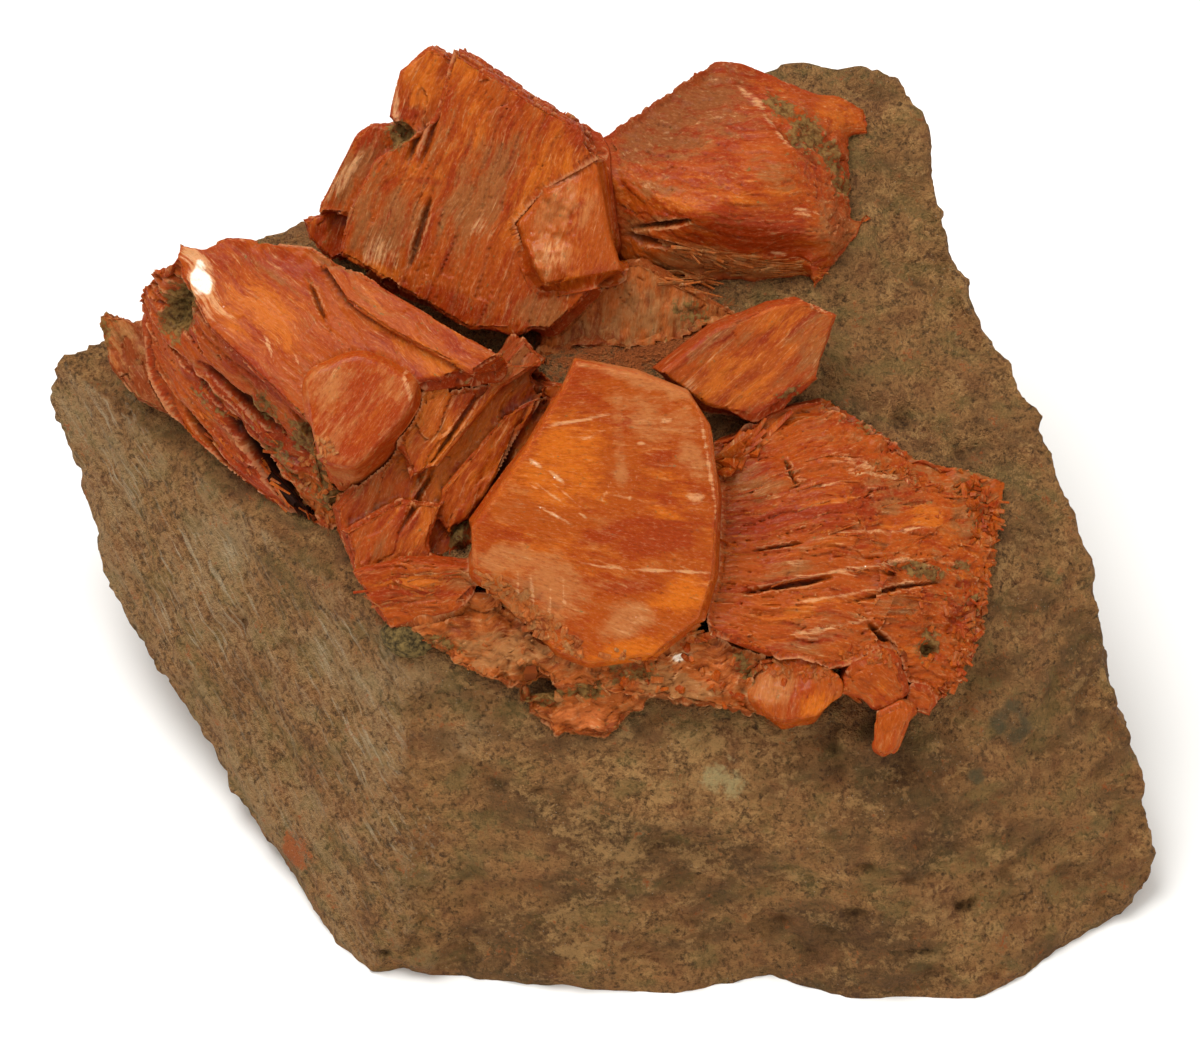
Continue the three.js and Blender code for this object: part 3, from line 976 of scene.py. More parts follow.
def upper_crystals() -> list[Crystal]:
    """The tall book, its flake and the domed sheaf at the back.

    Returns:
        The crystals, with how their fibres run and what marks their faces.
    """
    return [
        Crystal(
            "upper_left_book", RED, (-8, 44), Flow(73, wave=0.12, wave_length=9), lath=(0.5, 3.6, 0.5),
            relief=0.22, fray=0.6, ledge=0.35, swell=0.25, seed=1, join=0.4,
            patches=(
                Patch(GLOW, (-3.2, 7.9), (1.9, 2.4), 0, 1.1),
                Patch(PALE_AND_GLARE, (-5.0, 6.0), (0.35, 2.6), 8),
                Patch(DEEP, (-4.1, 4.8), (1.6, 0.5), 10, 1.1),
                Patch(GLOW, (0.2, 9.0), (1.4, 2.6), 10, 0.6),
                Patch(GLOW, (6.6, 0.6), (2.6, 6.0), -18, 0.8),
                Patch(VEIL, (1.8, 0.4), (2.4, 4.8), -17, 1.0),
                Patch(VEIL, (-4.6, -2.6), (2.8, 3.6), -10, 1.0),
                Patch(PALE_AND_GLARE, (-4.4, -5.2), (1.3, 1.2), 0, 0.75),
                Patch(PALE_AND_GLARE, (2.2, -2.5), (0.8, 0.8), 0, 0.6),
                Patch(PALE_AND_GLARE, (7.0, 3.1), (0.7, 0.9), 0, 0.6),
                Patch(VEIL, (-8.2, 0.0), (1.3, 2.6), -38, 1.2),
                Patch(PALE_AND_GLARE, (-8.6, -0.4), (0.6, 2.4), -38, 0.9),
                Patch(GLOW, (-9.4, -3.4), (1.4, 1.0), 0, 0.9),
                Patch(DEEP, (-6.7, 2.0), (0.9, 1.8), -15, 1.1),
                Patch(SOIL, (-4.5, 3.5), (1.1, 1.2)),
                Patch(DEEP, (-2.2, 3.7), (0.35, 1.8), -16, 1.1),
                Patch(DEEP, (-2.0, 0.3), (1.2, 0.3), 0, 1.2),
                Patch(GLOW, (-5.5, -6.3), (3.4, 0.7), -17, 0.9),
                Patch(DEEP, (1.0, -8.2), (4.5, 0.9), -15, 1.0),
                Patch(VEIL, (7.0, -8.1), (2.6, 1.2), 0, 0.9),
                Patch(DEEP, (8.7, 5.6), (0.9, 2.0), -20, 1.1),
                Patch(ROUGH, (-4.6, 3.8), (1.6, 1.4), 0, 0.6),
                Patch(ROUGH, (-9.2, -3.4), (1.6, 1.6), 0, 0.5),
                Patch(SHADED_HOLLOW, (-2.1, -3.5), (3.2, 0.24), 78, 0.5),
                Patch(SHADED_HOLLOW, (-2.0, 3.4), (2.0, 0.24), 76, 0.4),
                Patch(SHADED_HOLLOW, (-3.0, 3.2), (1.6, 0.3), 74, 0.5),
            ),
        ),
        Crystal(
            "upper_left_flake", ORANGE, (14, 48), Flow(66), lath=(1.2, 4.0, 0.5), relief=0.08, fray=0.25,
            ledge=0.04, swell=0.2, seed=2, voxel=0.14, join=0.7, join_reach=0.8, soft=12,
            patches=(
                Patch(VEIL, (-0.4, 2.2), (2.6, 2.4), 0, 0.7),
                Patch(VEIL, (-1.6, -0.8), (1.4, 1.6), 0, 0.9),
                Patch(PALE_AND_GLARE, (-1.8, -0.8), (0.9, 1.1), 0, 0.7),
                Patch(DEEP, (0.2, -4.2), (3.4, 0.5), 8),
                Patch(SUNK, (-3.2, 1.6), (2.8, 2.7), 0, 1.05),
                Patch(SUNK, (-0.6, 4.4), (2.8, 1.6), 0, 0.4),
                Patch(SUNK, (-3.2, -3.0), (1.8, 1.4), 0, 0.3),
            ),
        ),
        Crystal(
            "upper_right_sheaf", RED, (4, 38), Flow(-12, bow=-2.2, wave=0.1), lath=(0.4, 2.8, 0.5),
            relief=0.2, fray=0.35, ledge=0.14, swell=0.4, seed=3, soft=36,
            patches=(
                # This patch darkens the sheaf's upward-facing top: the stone's deep red, deepened as
                # painted shade.
                Patch(DEEP, (-3.6, 4.6), (7.0, 3.4), 24, 0.9),
                Patch(VEIL, (-3.8, 5.0), (6.4, 3.0), 24, 1.0),
                Patch(SHADED_HOLLOW, (-4.2, 5.2), (6.6, 2.8), 24, 0.42),
                Patch(PALE_AND_GLARE, (-4.6, 3.6), (5.0, 0.16), 18, 0.4),
                Patch(DEEP, (-5.5, 2.2), (4.6, 0.8), 4, 1.0),
                Patch(DEEP, (0.4, -3.6), (4.6, 1.9), -14, 1.2),
                Patch(DEEP, (2.4, -5.0), (3.0, 1.0), -20, 0.9),
                Patch(GLOW, (3.0, 6.2), (2.6, 1.0), -30, 0.9),
                Patch(GLOW, (7.9, 4.6), (2.0, 1.6), 0, 1.0),
                Patch(GLOW, (-4.0, -1.2), (4.0, 0.8), 0, 0.5),
                Patch(PALE_AND_GLARE, (1.3, 5.7), (1.1, 0.3), -38, 0.9),
                Patch(PALE_AND_GLARE, (2.9, 3.5), (1.3, 0.25), -50, 0.8),
                Patch(VEIL, (2.2, 0.6), (1.8, 0.9), -20, 0.9),
                Patch(VEIL, (-6.6, 0.0), (1.8, 0.8), 0, 0.8),
                Patch(PALE_AND_GLARE, (-6.8, 0.2), (0.7, 0.3), 0, 0.7),
                Patch(PALE_AND_GLARE, (4.5, -2.2), (0.8, 0.35), -15, 0.7),
                Patch(SOIL, (3.7, 4.6), (1.5, 0.7), -42, 1.0),
                Patch(SOIL, (5.4, 3.1), (1.9, 1.0), -42, 1.1),
                Patch(SOIL, (6.9, 1.2), (1.7, 0.8), -58, 1.0),
                Patch(SOIL, (7.7, -0.9), (1.3, 0.7), -70, 0.9),
                Patch(VEIL, (7.2, -4.0), (1.8, 2.6), 0, 1.0),
                Patch(VEIL, (-1.0, -6.6), (5.6, 1.4), -10, 1.2),
                Patch(PALE_AND_GLARE, (0.6, -6.4), (4.6, 0.25), -12, 0.9),
                Patch(PALE_AND_GLARE, (-1.5, -7.4), (3.0, 0.15), -14, 0.8),
                Patch(PALE_AND_GLARE, (2.5, -5.4), (2.6, 0.14), -20, 0.7),
                Patch(DEEP, (0.0, -7.9), (4.0, 0.4), -12, 1.0),
                Patch(VEIL, (-7.6, -3.0), (2.0, 0.9), 10, 0.9),
                Patch(ROUGH, (6.2, 2.2), (3.4, 1.2), -50, 0.8),
                Patch(ROUGH, (-1.0, -7.6), (6.0, 1.0), -14, 0.8),
                Patch(ROUGH, (7.6, -3.4), (1.2, 3.0), 0, 0.6),
                Patch(SHADED_HOLLOW, (-3.6, -7.4), (1.6, 0.4), -20, 0.8),
                Patch(SHADED_HOLLOW, (-6.6, -4.2), (2.0, 0.3), -14, 0.6),
                Patch(SHADED_HOLLOW, (-6.2, -2.8), (1.8, 0.25), 10, 0.7),
                Patch(SHADED_HOLLOW, (4.4, 2.4), (2.6, 0.25), -45, 0.4),
            ),
        ),
    ]


def left_crystals() -> list[Crystal]:
    """The pile of sheets at the left and the round plate in front of it.

    Returns:
        The crystals, with how their fibres run and what marks their faces.
    """
    return [
        Crystal(
            "left_book", RED, (-14, 62), Flow(-32, wave=0.15, curl=0.15), lath=(0.9, 5.0, 0.34),
            relief=0.1, fray=0.7, ledge=0.7, swell=0.3, seed=4, join=0.35, join_reach=0.8,
            patches=(
                Patch(GLOW, (-4.2, 0.8), (4.0, 2.6), -28, 0.95),
                # The first two patches paint a glare highlight: a white core and pale streaks above it.
                Patch(PALE_AND_GLARE, (-8.6, 2.8), (1.0, 1.6), 25, 1.6),
                Patch(PALE_AND_GLARE, (-9.6, 4.5), (1.1, 0.8), 0, 1.0),
                Patch(PALE_AND_GLARE, (-7.4, 1.2), (1.0, 1.4), -20, 0.7),
                Patch(PALE_AND_GLARE, (-2.6, -1.2), (0.14, 1.6), 30, 1.0),
                Patch(PALE_AND_GLARE, (-0.6, -1.4), (0.12, 0.9), 30, 0.8),
                Patch(DEEP, (-3.8, 5.2), (4.6, 0.9), -2, 0.6),
                Patch(VEIL, (0.9, 5.9), (2.4, 0.8), -6, 1.0),
                Patch(ROUGH, (-2.0, 6.0), (5.4, 0.9), -4, 0.6),
                Patch(VEIL, (-5.6, 4.2), (2.6, 1.4), -10, 0.5),
                Patch(GLOW, (9.0, 0.0), (4.2, 1.2), -22, 0.7),
                Patch(DEEP, (9.0, -1.6), (3.6, 0.5), 18, 1.2),
                Patch(DEEP, (-4.0, -2.8), (4.2, 0.7), -20, 1.1),
                Patch(SOIL, (-10.7, 0.7), (1.7, 1.8), 0, 1.3),
                Patch(SHADED_HOLLOW, (-10.7, 0.8), (1.2, 1.3), 0, 1.0),
                Patch(DEEP, (-5.0, -5.4), (5.5, 1.6), -30, 0.9),
                Patch(DEEP, (-3.2, -9.0), (6.5, 1.6), -42, 1.0),
                Patch(SOIL, (-7.6, -4.6), (2.2, 0.6), -34, 0.6),
                Patch(SOIL, (-1.6, -7.6), (2.6, 0.6), -40, 0.8),
                Patch(SOIL, (0.6, -6.6), (2.2, 1.1), -30, 1.1),
                Patch(SOIL, (2.3, -8.8), (1.3, 2.0), 20, 1.1),
                Patch(SOIL, (-3.0, -5.0), (1.6, 0.8), -30, 0.7),
                Patch(ROUGH, (-0.8, -7.4), (4.4, 1.3), -38, 1.0),
                Patch(ROUGH, (-8.6, -3.4), (3.4, 0.9), -36, 0.8),
                Patch(ROUGH, (-10.6, 2.2), (2.4, 2.2), 0, 0.8),
                Patch(SHADED_HOLLOW, (-2.2, -8.7), (5.2, 0.45), -38, 1.8),
                Patch(SHADED_HOLLOW, (-5.0, -4.4), (4.0, 0.3), -30, 0.9),
                Patch(SHADED_HOLLOW, (-8.4, -6.4), (3.0, 0.3), -40, 0.9),
                Patch(SHADED_HOLLOW, (0.0, 2.8), (2.0, 0.18), -55, 0.4),
            ),
        ),
        Crystal(
            "left_round_plate", ORANGE, (-6, 54), Flow(60), lath=(1.6, 4.0, 0.6), relief=0.03, fray=0.1,
            ledge=0.1, swell=0.12, seed=5, voxel=0.14, soft=14,
            patches=(
                Patch(DEEP, (0.0, 0.0), (5.0, 5.0), 0, 0.8),
                Patch(VEIL, (0.4, 0.4), (4.0, 4.0), 0, 0.35),
                Patch(VEIL, (-2.6, 2.6), (1.8, 2.0), 0, 0.8),
                Patch(VEIL, (-1.0, -2.8), (1.6, 1.4), 0, 0.7),
                Patch(PALE_AND_GLARE, (3.2, 3.0), (0.2, 1.8), 20, 0.7),
            ),
        ),
    ]


def middle_crystals() -> list[Crystal]:
    """The tablet in the middle and the crystals around it.

    Returns:
        The crystals, with how their fibres run and what marks their faces.
    """
    return [
        Crystal(
            "middle_sheaf", RED, (14, 47), Flow(50, bow=0.6, wave=0.12), lath=(0.9, 5.0, 0.6),
            relief=0.3, fray=0.5, ledge=0.3, swell=0.4, seed=6,
            patches=(
                Patch(VEIL, (4.8, 5.0), (2.6, 1.6), 40, 0.9),
                Patch(VEIL, (-1.6, 1.6), (3.0, 1.4), 40, 0.8),
                Patch(DEEP, (1.2, 3.0), (3.0, 0.9), 46, 0.7),
                Patch(GLOW, (1.9, 1.4), (2.2, 0.9), 46, 0.7),
                Patch(VEIL, (-5.4, -1.0), (2.6, 2.0), 40, 0.7),
                Patch(PALE_AND_GLARE, (-0.2, 2.4), (3.0, 0.14), 50, 0.7),
                Patch(PALE_AND_GLARE, (-3.0, -2.6), (0.14, 1.4), 20, 0.7),
                Patch(DEEP, (-4.7, -5.0), (1.1, 0.6), 45, 1.0),
                Patch(GLOW, (-2.6, -4.4), (1.4, 0.8), 45, 0.8),
                Patch(GLOW, (-1.0, 0.6), (6.0, 4.0), 46, 0.8),
                Patch(VEIL, (0.8, -0.6), (3.6, 1.4), 48, 0.65),
                Patch(SOIL, (-0.9, -6.8), (1.2, 0.7), 55, 1.0),
                Patch(SHADED_HOLLOW, (-0.8, -6.8), (1.3, 0.5), 55, 0.8),
                Patch(SHADED_HOLLOW, (2.6, -3.0), (4.2, 0.3), 58, 0.7),
                Patch(SHADED_HOLLOW, (6.9, 3.2), (2.4, 0.3), 68, 0.7),
                Patch(SHADED_HOLLOW, (0.2, 1.2), (4.5, 0.2), 46, 0.5),
                Patch(SHADED_HOLLOW, (-3.4, -3.4), (2.0, 0.2), 48, 0.5),
            ),
        ),
        Crystal(
            "front_fold", RED, (-2, 40), Flow(4, wave=0.16, wave_length=5, curl=0.15),
            lath=(0.5, 3.5, 0.45), relief=0.25, fray=0.4, ledge=0.3, swell=0.25, seed=7,
            patches=(
                Patch(GLOW, (0.5, 0.4), (3.4, 0.7), 6, 0.6),
                Patch(VEIL, (3.2, 0.6), (1.6, 0.8)),
                Patch(PALE_AND_GLARE, (0.8, 0.9), (2.6, 0.12), 4, 0.7),
                Patch(DEEP, (0.0, -0.5), (3.4, 0.25), 2, 0.9),
            ),
        ),
        Crystal(
            "centre_tablet", ORANGE, (2, 46), Flow(-14, fan=(-40, 8)), lath=(2.2, 7.0, 0.7), relief=0.05,
            fray=0.2, ledge=0.12, swell=0.22, roll=5.0, seed=8, voxel=0.15,
            patches=(
                Patch(GLOW, (-2.2, 2.8), (3.0, 3.6), 20, 0.9),
                Patch(PALE_AND_GLARE, (-3.4, 1.2), (1.7, 0.1), -38, 0.8),
                Patch(PALE_AND_GLARE, (-2.0, 0.9), (1.3, 0.09), -42, 0.8),
                Patch(PALE_AND_GLARE, (-4.6, 1.8), (1.0, 0.09), -36, 0.7),
                Patch(PALE_AND_GLARE, (-0.6, 4.8), (1.6, 0.09), 24, 0.6),
                Patch(PALE_AND_GLARE, (1.0, 1.6), (1.8, 0.09), 62, 0.6),
                Patch(PALE_AND_GLARE, (2.6, 1.2), (1.6, 0.09), 70, 0.6),
                Patch(PALE_AND_GLARE, (-4.6, -6.0), (0.14, 1.6), 5, 0.9),
                Patch(PALE_AND_GLARE, (-3.4, -6.8), (0.12, 1.5), -6, 0.9),
                Patch(PALE_AND_GLARE, (-2.4, -6.2), (0.12, 1.3), 3, 0.8),
                Patch(PALE_AND_GLARE, (-5.6, -5.4), (0.12, 1.1), 0, 0.8),
                # Painted highlight: a small white glint at the tablet's lower right.
                Patch(PALE_AND_GLARE, (5.8, -10.0), (0.7, 0.3), 20, 1.4),
                Patch(PALE_AND_GLARE, (-4.2, 3.2), (0.55, 0.16), -38, 1.2),
                Patch(PALE_AND_GLARE, (-2.6, 2.1), (0.8, 0.16), -40, 1.2),
                Patch(PALE_AND_GLARE, (-1.0, -0.5), (0.5, 0.13), -40, 1.0),
                Patch(PALE_AND_GLARE, (-3.0, -0.4), (1.9, 0.13), -30, 1.1),
                Patch(PALE_AND_GLARE, (-1.6, 6.0), (2.6, 0.13), 9, 1.1),
                Patch(VEIL, (1.7, 4.4), (0.5, 3.6), 2, 0.8),
                Patch(VEIL, (4.5, 5.8), (2.4, 1.8), 0, 0.7),
                Patch(GLOW, (5.2, 1.4), (2.4, 3.2), 0, 0.8),
                Patch(PALE_AND_GLARE, (5.0, 5.9), (0.6, 0.25), 15, 0.9),
                Patch(PALE_AND_GLARE, (3.3, 4.4), (0.35, 0.2), 0, 1.0),
                Patch(VEIL, (6.7, 3.4), (1.0, 2.2), 10, 1.1),
                Patch(PALE_AND_GLARE, (6.9, 0.7), (0.6, 0.7), 30, 0.7),
                Patch(DEEP, (4.5, 3.2), (1.3, 0.6), 0, 0.9),
                Patch(VEIL, (3.6, 8.8), (4.4, 0.6), -18, 1.2),
                Patch(DEEP, (4.5, -2.5), (3.2, 1.0), 4, 1.2),
                Patch(DEEP, (0.7, -1.9), (1.8, 0.7), 12, 1.0),
                Patch(DEEP, (4.2, -1.2), (3.0, 0.2), -3, 1.0),
                Patch(PALE_AND_GLARE, (0.2, -4.1), (2.0, 0.13), -10, 0.9),
                Patch(PALE_AND_GLARE, (5.0, -4.6), (3.0, 0.13), -4, 1.0),
                Patch(GLOW, (6.0, -6.4), (2.6, 1.4), 16, 1.1),
                Patch(DEEP, (2.4, -5.6), (2.0, 0.6), 0, 0.8),
                Patch(PALE_AND_GLARE, (2.3, -7.8), (1.2, 0.7), 20, 0.6),
                Patch(VEIL, (2.2, -7.9), (2.2, 1.2), 20, 1.2),
                Patch(GLOW, (2.6, -10.0), (2.8, 1.0), 16, 1.0),
                Patch(VEIL, (-3.9, -6.2), (3.2, 3.2), 0, 0.9),
                Patch(VEIL, (-6.6, -3.4), (2.4, 1.0), 0, 1.1),
                # Painted highlight: a thin pale line along the tablet's right edge.
                Patch(PALE_AND_GLARE, (7.9, 3.0), (0.18, 4.5), 8, 0.9),
                Patch(SUNK, (-5.6, -8.4), (3.4, 2.4), -30, 0.9),
            ),
        ),
        Crystal(
            "centre_right_wedge", RED, (12, 42), Flow(34, wave=0.05), lath=(0.8, 4.0, 0.6), relief=0.14,
            fray=0.35, ledge=0.2, swell=0.3, seed=9,
            patches=(
                Patch(GLOW, (-1.5, -1.4), (3.6, 2.4), 20, 0.8),
                Patch(GLOW, (2.4, 1.2), (3.0, 2.0), 30, 0.4),
                Patch(ROUGH, (2.6, -3.2), (2.2, 0.7), 10, 0.7),
                Patch(VEIL, (-2.5, 1.0), (3.4, 1.0), 30, 0.9),
                Patch(SOIL, (2.4, -2.8), (1.3, 0.5), 0, 0.9),
                Patch(DEEP, (0.5, -3.8), (5.0, 0.6), 10),
                Patch(VEIL, (4.8, 0.6), (1.6, 2.2), -10, 0.8),
                Patch(PALE_AND_GLARE, (-4.6, -1.2), (1.0, 0.3), 50, 0.8),
                Patch(PALE_AND_GLARE, (5.8, 2.9), (0.8, 0.3), -30, 0.7),
            ),
        ),
    ]


def right_crystals() -> list[Crystal]:
    """The wide fan of wavy fibres at the right.

    Returns:
        The crystals, with how their fibres run and what marks their faces.
    """
    return [
        Crystal(
            "right_sheaf", RED, (8, 58), Flow(1, fan=(-34, 1), wave=0.13, wave_length=8, curl=0.2),
            lath=(0.3, 2.4, 0.45), relief=0.28, fray=1.5, ledge=0.5, swell=0.8, seed=10,
            patches=(
                Patch(PALE_AND_GLARE, (0.0, -1.7), (5.0, 0.2), 2, 0.8),
                Patch(PALE_AND_GLARE, (-1.0, -3.5), (5.5, 0.16), 4, 0.9),
                Patch(PALE_AND_GLARE, (1.6, 0.9), (4.0, 0.16), 0, 0.8),
                Patch(PALE_AND_GLARE, (-2.4, -5.7), (4.5, 0.2), 5, 0.9),
                Patch(PALE_AND_GLARE, (-3.0, 4.6), (4.0, 0.14), 10, 0.7),
                Patch(PALE_AND_GLARE, (2.0, 5.2), (3.4, 0.2), -14, 0.8),
                Patch(VEIL, (-3.0, -5.2), (4.4, 1.6), 4, 0.5),
                Patch(VEIL, (4.0, 4.6), (3.4, 1.6), -14, 0.6),
                Patch(ROUGH, (8.8, 1.6), (2.0, 4.4), 8, 1.0),
                Patch(ROUGH, (6.4, -7.0), (3.2, 4.0), 24, 1.0),
                Patch(ROUGH, (4.4, 7.4), (5.0, 1.4), -26, 0.8),
                Patch(ROUGH, (4.4, -2.2), (2.4, 0.9), -10, 0.8),
                Patch(VEIL, (9.4, 2.0), (1.0, 4.0), 8, 0.6),
                Patch(DEEP, (8.0, -6.6), (1.4, 3.0), 26, 0.8),
                Patch(SOIL, (8.9, 2.4), (1.4, 4.0), 0, 0.5),
                Patch(SOIL, (8.2, -6.0), (2.2, 3.6), 20, 0.5),
                Patch(SOIL, (2.6, 8.8), (5.0, 0.8), -22, 0.45),
                Patch(DEEP, (-7.4, 6.9), (3.0, 1.8), 20, 1.1),
                Patch(VEIL, (-7.6, 4.8), (2.4, 1.6), 6, 0.9),
                Patch(SOIL, (-4.4, 6.4), (0.4, 1.3), 10, 0.6),
                Patch(GLOW, (-2.2, 3.0), (3.4, 0.7), 8, 0.9),
                Patch(DEEP, (-5.4, 2.4), (4.8, 0.6), 6, 1.0),
                Patch(DEEP, (0.8, 2.4), (0.7, 1.6), 0, 0.9),
                Patch(DEEP, (-0.8, 2.5), (2.4, 0.9), 8, 0.7),
                Patch(PALE_AND_GLARE, (0.8, 6.4), (2.6, 0.5), -22, 0.6),
                Patch(VEIL, (2.5, 3.2), (1.2, 1.0), 0, 0.9),
                Patch(GLOW, (5.3, 1.8), (1.4, 0.7), 0, 0.9),
                Patch(VEIL, (-5.6, -1.2), (2.2, 0.6), 0, 1.0),
                Patch(PALE_AND_GLARE, (-5.0, -0.9), (0.7, 0.35), 0, 0.8),
                Patch(DEEP, (-5.6, -2.1), (2.6, 0.35), 2, 1.2),
                Patch(GLOW, (-3.0, -4.2), (4.5, 0.8), 6, 0.6),
                Patch(DEEP, (-4.0, -6.6), (4.0, 0.35), 2, 0.8),
                Patch(VEIL, (1.5, -5.1), (1.8, 1.0), 14, 0.7),
                Patch(SOIL, (4.1, -2.4), (1.7, 0.6), -12, 1.0),
                Patch(SOIL, (7.2, -2.2), (0.9, 0.6), 0, 1.0),
                Patch(SOIL, (4.1, -7.6), (1.3, 1.5), 20, 1.1),
                Patch(ROUGH, (4.1, -7.6), (1.8, 1.8), 20, 0.9),
                Patch(VEIL, (8.6, 2.4), (2.0, 3.0), 0, 0.9),
                Patch(GLOW, (6.6, -7.2), (1.6, 1.6), 0, 0.6),
                Patch(DEEP, (5.8, -5.6), (2.4, 0.8), -40, 0.6),
                Patch(SHADED_HOLLOW, (-5.6, -2.4), (2.8, 0.2), 4, 0.7),
                Patch(SHADED_HOLLOW, (-7.5, 9.8), (1.8, 0.5), 4, 0.9),
                Patch(SHADED_HOLLOW, (3.9, -8.1), (0.5, 0.8), 20, 0.85),
                Patch(SHADED_HOLLOW, (0.6, -7.0), (0.25, 1.6), 40, 0.8),
                Patch(SHADED_HOLLOW, (-4.4, 6.0), (0.2, 1.3), 10, 0.5),
                Patch(SHADED_HOLLOW, (2.0, -3.6), (3.2, 0.15), 8, 0.5),
                Patch(SHADED_HOLLOW, (-6.0, 0.4), (2.2, 0.12), 4, 0.4),
            ),
        ),
    ]


def front_crystals() -> list[Crystal]:
    """The four small crystals at the front right.

    Returns:
        The crystals, with how their fibres run and what marks their faces.
    """
    return [
        Crystal(
            "front_half_moon", ORANGE, (4, 42), Flow(78), lath=(0.5, 2.4, 0.4), relief=0.1, fray=0.25,
            ledge=0.15, swell=0.2, seed=11, voxel=0.12, soft=10,
            patches=(
                Patch(VEIL, (-1.4, 1.0), (1.9, 1.2), 0, 1.1),
                Patch(GLOW, (1.2, -0.4), (1.6, 1.2)),
                Patch(SUNK, (-1.6, 2.2), (3.0, 1.6), 0, 0.8),
            ),
        ),
        Crystal(
            "front_knob", RED, (2, 42), Flow(-40), lath=(0.5, 1.2, 0.5), relief=0.2, fray=0.3, ledge=0.3,
            swell=0.35, roll=1.6, seed=12, voxel=0.12, soft=10,
            patches=(
                Patch(GLOW, (0.2, -0.6), (1.3, 0.8), 0, 0.6),
                Patch(ROUGH, (0.0, 0.0), (3.0, 3.0), 0, 0.5),
            ),
        ),
        Crystal(
            "front_finger", ORANGE, (-4, 44), Flow(80), lath=(0.6, 2.0, 0.5), relief=0.1, fray=0.2,
            ledge=0.2, swell=0.25, roll=1.6, seed=13, voxel=0.12, soft=8,
        ),
        Crystal(
            "front_right_blade", RED, (10, 44), Flow(-35), lath=(0.4, 1.4, 0.4), relief=0.15, fray=0.2,
            ledge=0.15, swell=0.2, roll=1.6, seed=14, voxel=0.12,
        ),
    ]


def dull_crystals() -> list[Crystal]:
    """The dull blades, crust and pocket crystal at the edges.

    Returns:
        The crystals, with how their fibres run and what marks their faces.
    """
    return [
        Crystal(
            "far_left_blades", BROWN_RED, (-25, 50), Flow(-38, wave=0.1, curl=0.2), lath=(0.5, 1.8, 0.5),
            relief=0.25, fray=0.5, ledge=0.45, swell=0.35, roll=2.2, seed=15,
            patches=(
                Patch(SOIL, (-3.8, 0.4), (1.2, 1.6), 0, 1.0),
                Patch(ROUGH, (-2.6, 0.6), (2.6, 1.8), -30, 0.8),
                Patch(DEEP, (0.4, -0.6), (4.0, 1.6), -40, 1.3),
                Patch(DEEP, (1.0, -2.6), (4.6, 1.4), -40, 1.3),
            ),
        ),
        Crystal(
            "front_crust", BROWN_RED, (0, 44), Flow(8, wave=0.2, wave_length=4, curl=0.2),
            lath=(0.45, 0.9, 0.45), relief=0.3, fray=0.4, ledge=0.4, swell=0.6, roll=2.0, seed=16,
            grit=0.7, voxel=0.14, join=0.45, join_reach=0.9,
            patches=(
                Patch(SOIL, (2.2, -0.6), (2.2, 0.8), 10, 0.7),
                Patch(SOIL, (-9.0, -1.6), (1.6, 0.8), 20, 0.7),
                Patch(SOIL, (-3.6, -2.3), (1.9, 0.8), 0, 1.0),
                Patch(SOIL, (-0.6, -1.9), (1.5, 0.6), 0, 1.0),
                Patch(SOIL, (10.4, 0.0), (0.7, 1.4), 30, 0.9),
                Patch(SOIL, (-10.6, 1.4), (1.6, 1.0), -20, 0.7),
                Patch(GLOW, (-0.9, -3.8), (2.6, 0.9), 0, 1.2),
                Patch(GLOW, (-5.6, -3.0), (0.9, 0.6), 0, 0.9),
                Patch(VEIL, (5.9, -1.8), (3.0, 1.4), 0, 1.0),
                Patch(VEIL, (-6.4, 0.8), (3.6, 1.4), 0, 0.9),
                Patch(GLOW, (8.6, -0.8), (1.2, 0.9), 0, 0.8),
                # Painted highlight: a small white glint on the crust beside the tablet.
                Patch(PALE_AND_GLARE, (6.0, 0.6), (0.8, 0.4), 12, 1.5),
            ),
        ),
        Crystal(
            "pocket_crystal", BROWN_RED, (2, 44), Flow(82), lath=(0.7, 2.4, 0.5), relief=0.3, fray=0.5,
            ledge=0.3, swell=0.6, roll=2.4, seed=17, grit=0.25,
            patches=(
                Patch(VEIL, (-1.0, -1.0), (5.5, 2.6), 0, 0.5),
                Patch(DEEP, (0.6, -0.6), (0.3, 2.4), 4, 0.9),
                Patch(DEEP, (-3.4, -2.6), (3.4, 1.0), 0, 0.9),
                Patch(GLOW, (-3.0, -0.6), (1.6, 1.0), 0, 0.6),
                Patch(SOIL, (3.6, -1.0), (1.6, 0.9), -20, 0.8),
            ),
        ),
    ]


def crystals() -> list[Crystal]:
    """Puts the groups of crystals together.

    Returns:
        Every crystal of the specimen, with how its fibres run and what marks its face.
    """
    groups = [upper_crystals(), left_crystals(), middle_crystals(), right_crystals()]
    groups += [front_crystals(), dull_crystals()]
    return [crystal for group in groups for crystal in group]


class Stain(Enum):
    """What sets a spot of the rock apart. Each is an attribute of the finished mesh."""

    SLATE = "slate"
    GREEN = "green"
    SHADE = "shade"
    LIGHT = "light"
    RUST = "rust"
    FROST = "frost"
    PITTED = "pitted"


@dataclass(frozen=True)
class Spot:
    """A stained or pitted spot of the rock, with its place and reach in millimetres."""

    stain: Stain
    place: tuple[float, float, float]
    reach: float

    def over(self, places: np.ndarray) -> np.ndarray:
        """How strongly the spot shows at each place, from 0 to 1."""
        far = np.linalg.norm(places - np.array(self.place), axis=-1) / self.reach
        return eased(-(far + 0.5 * fractal(places, 1.8, 41)), -1.4, -0.5)


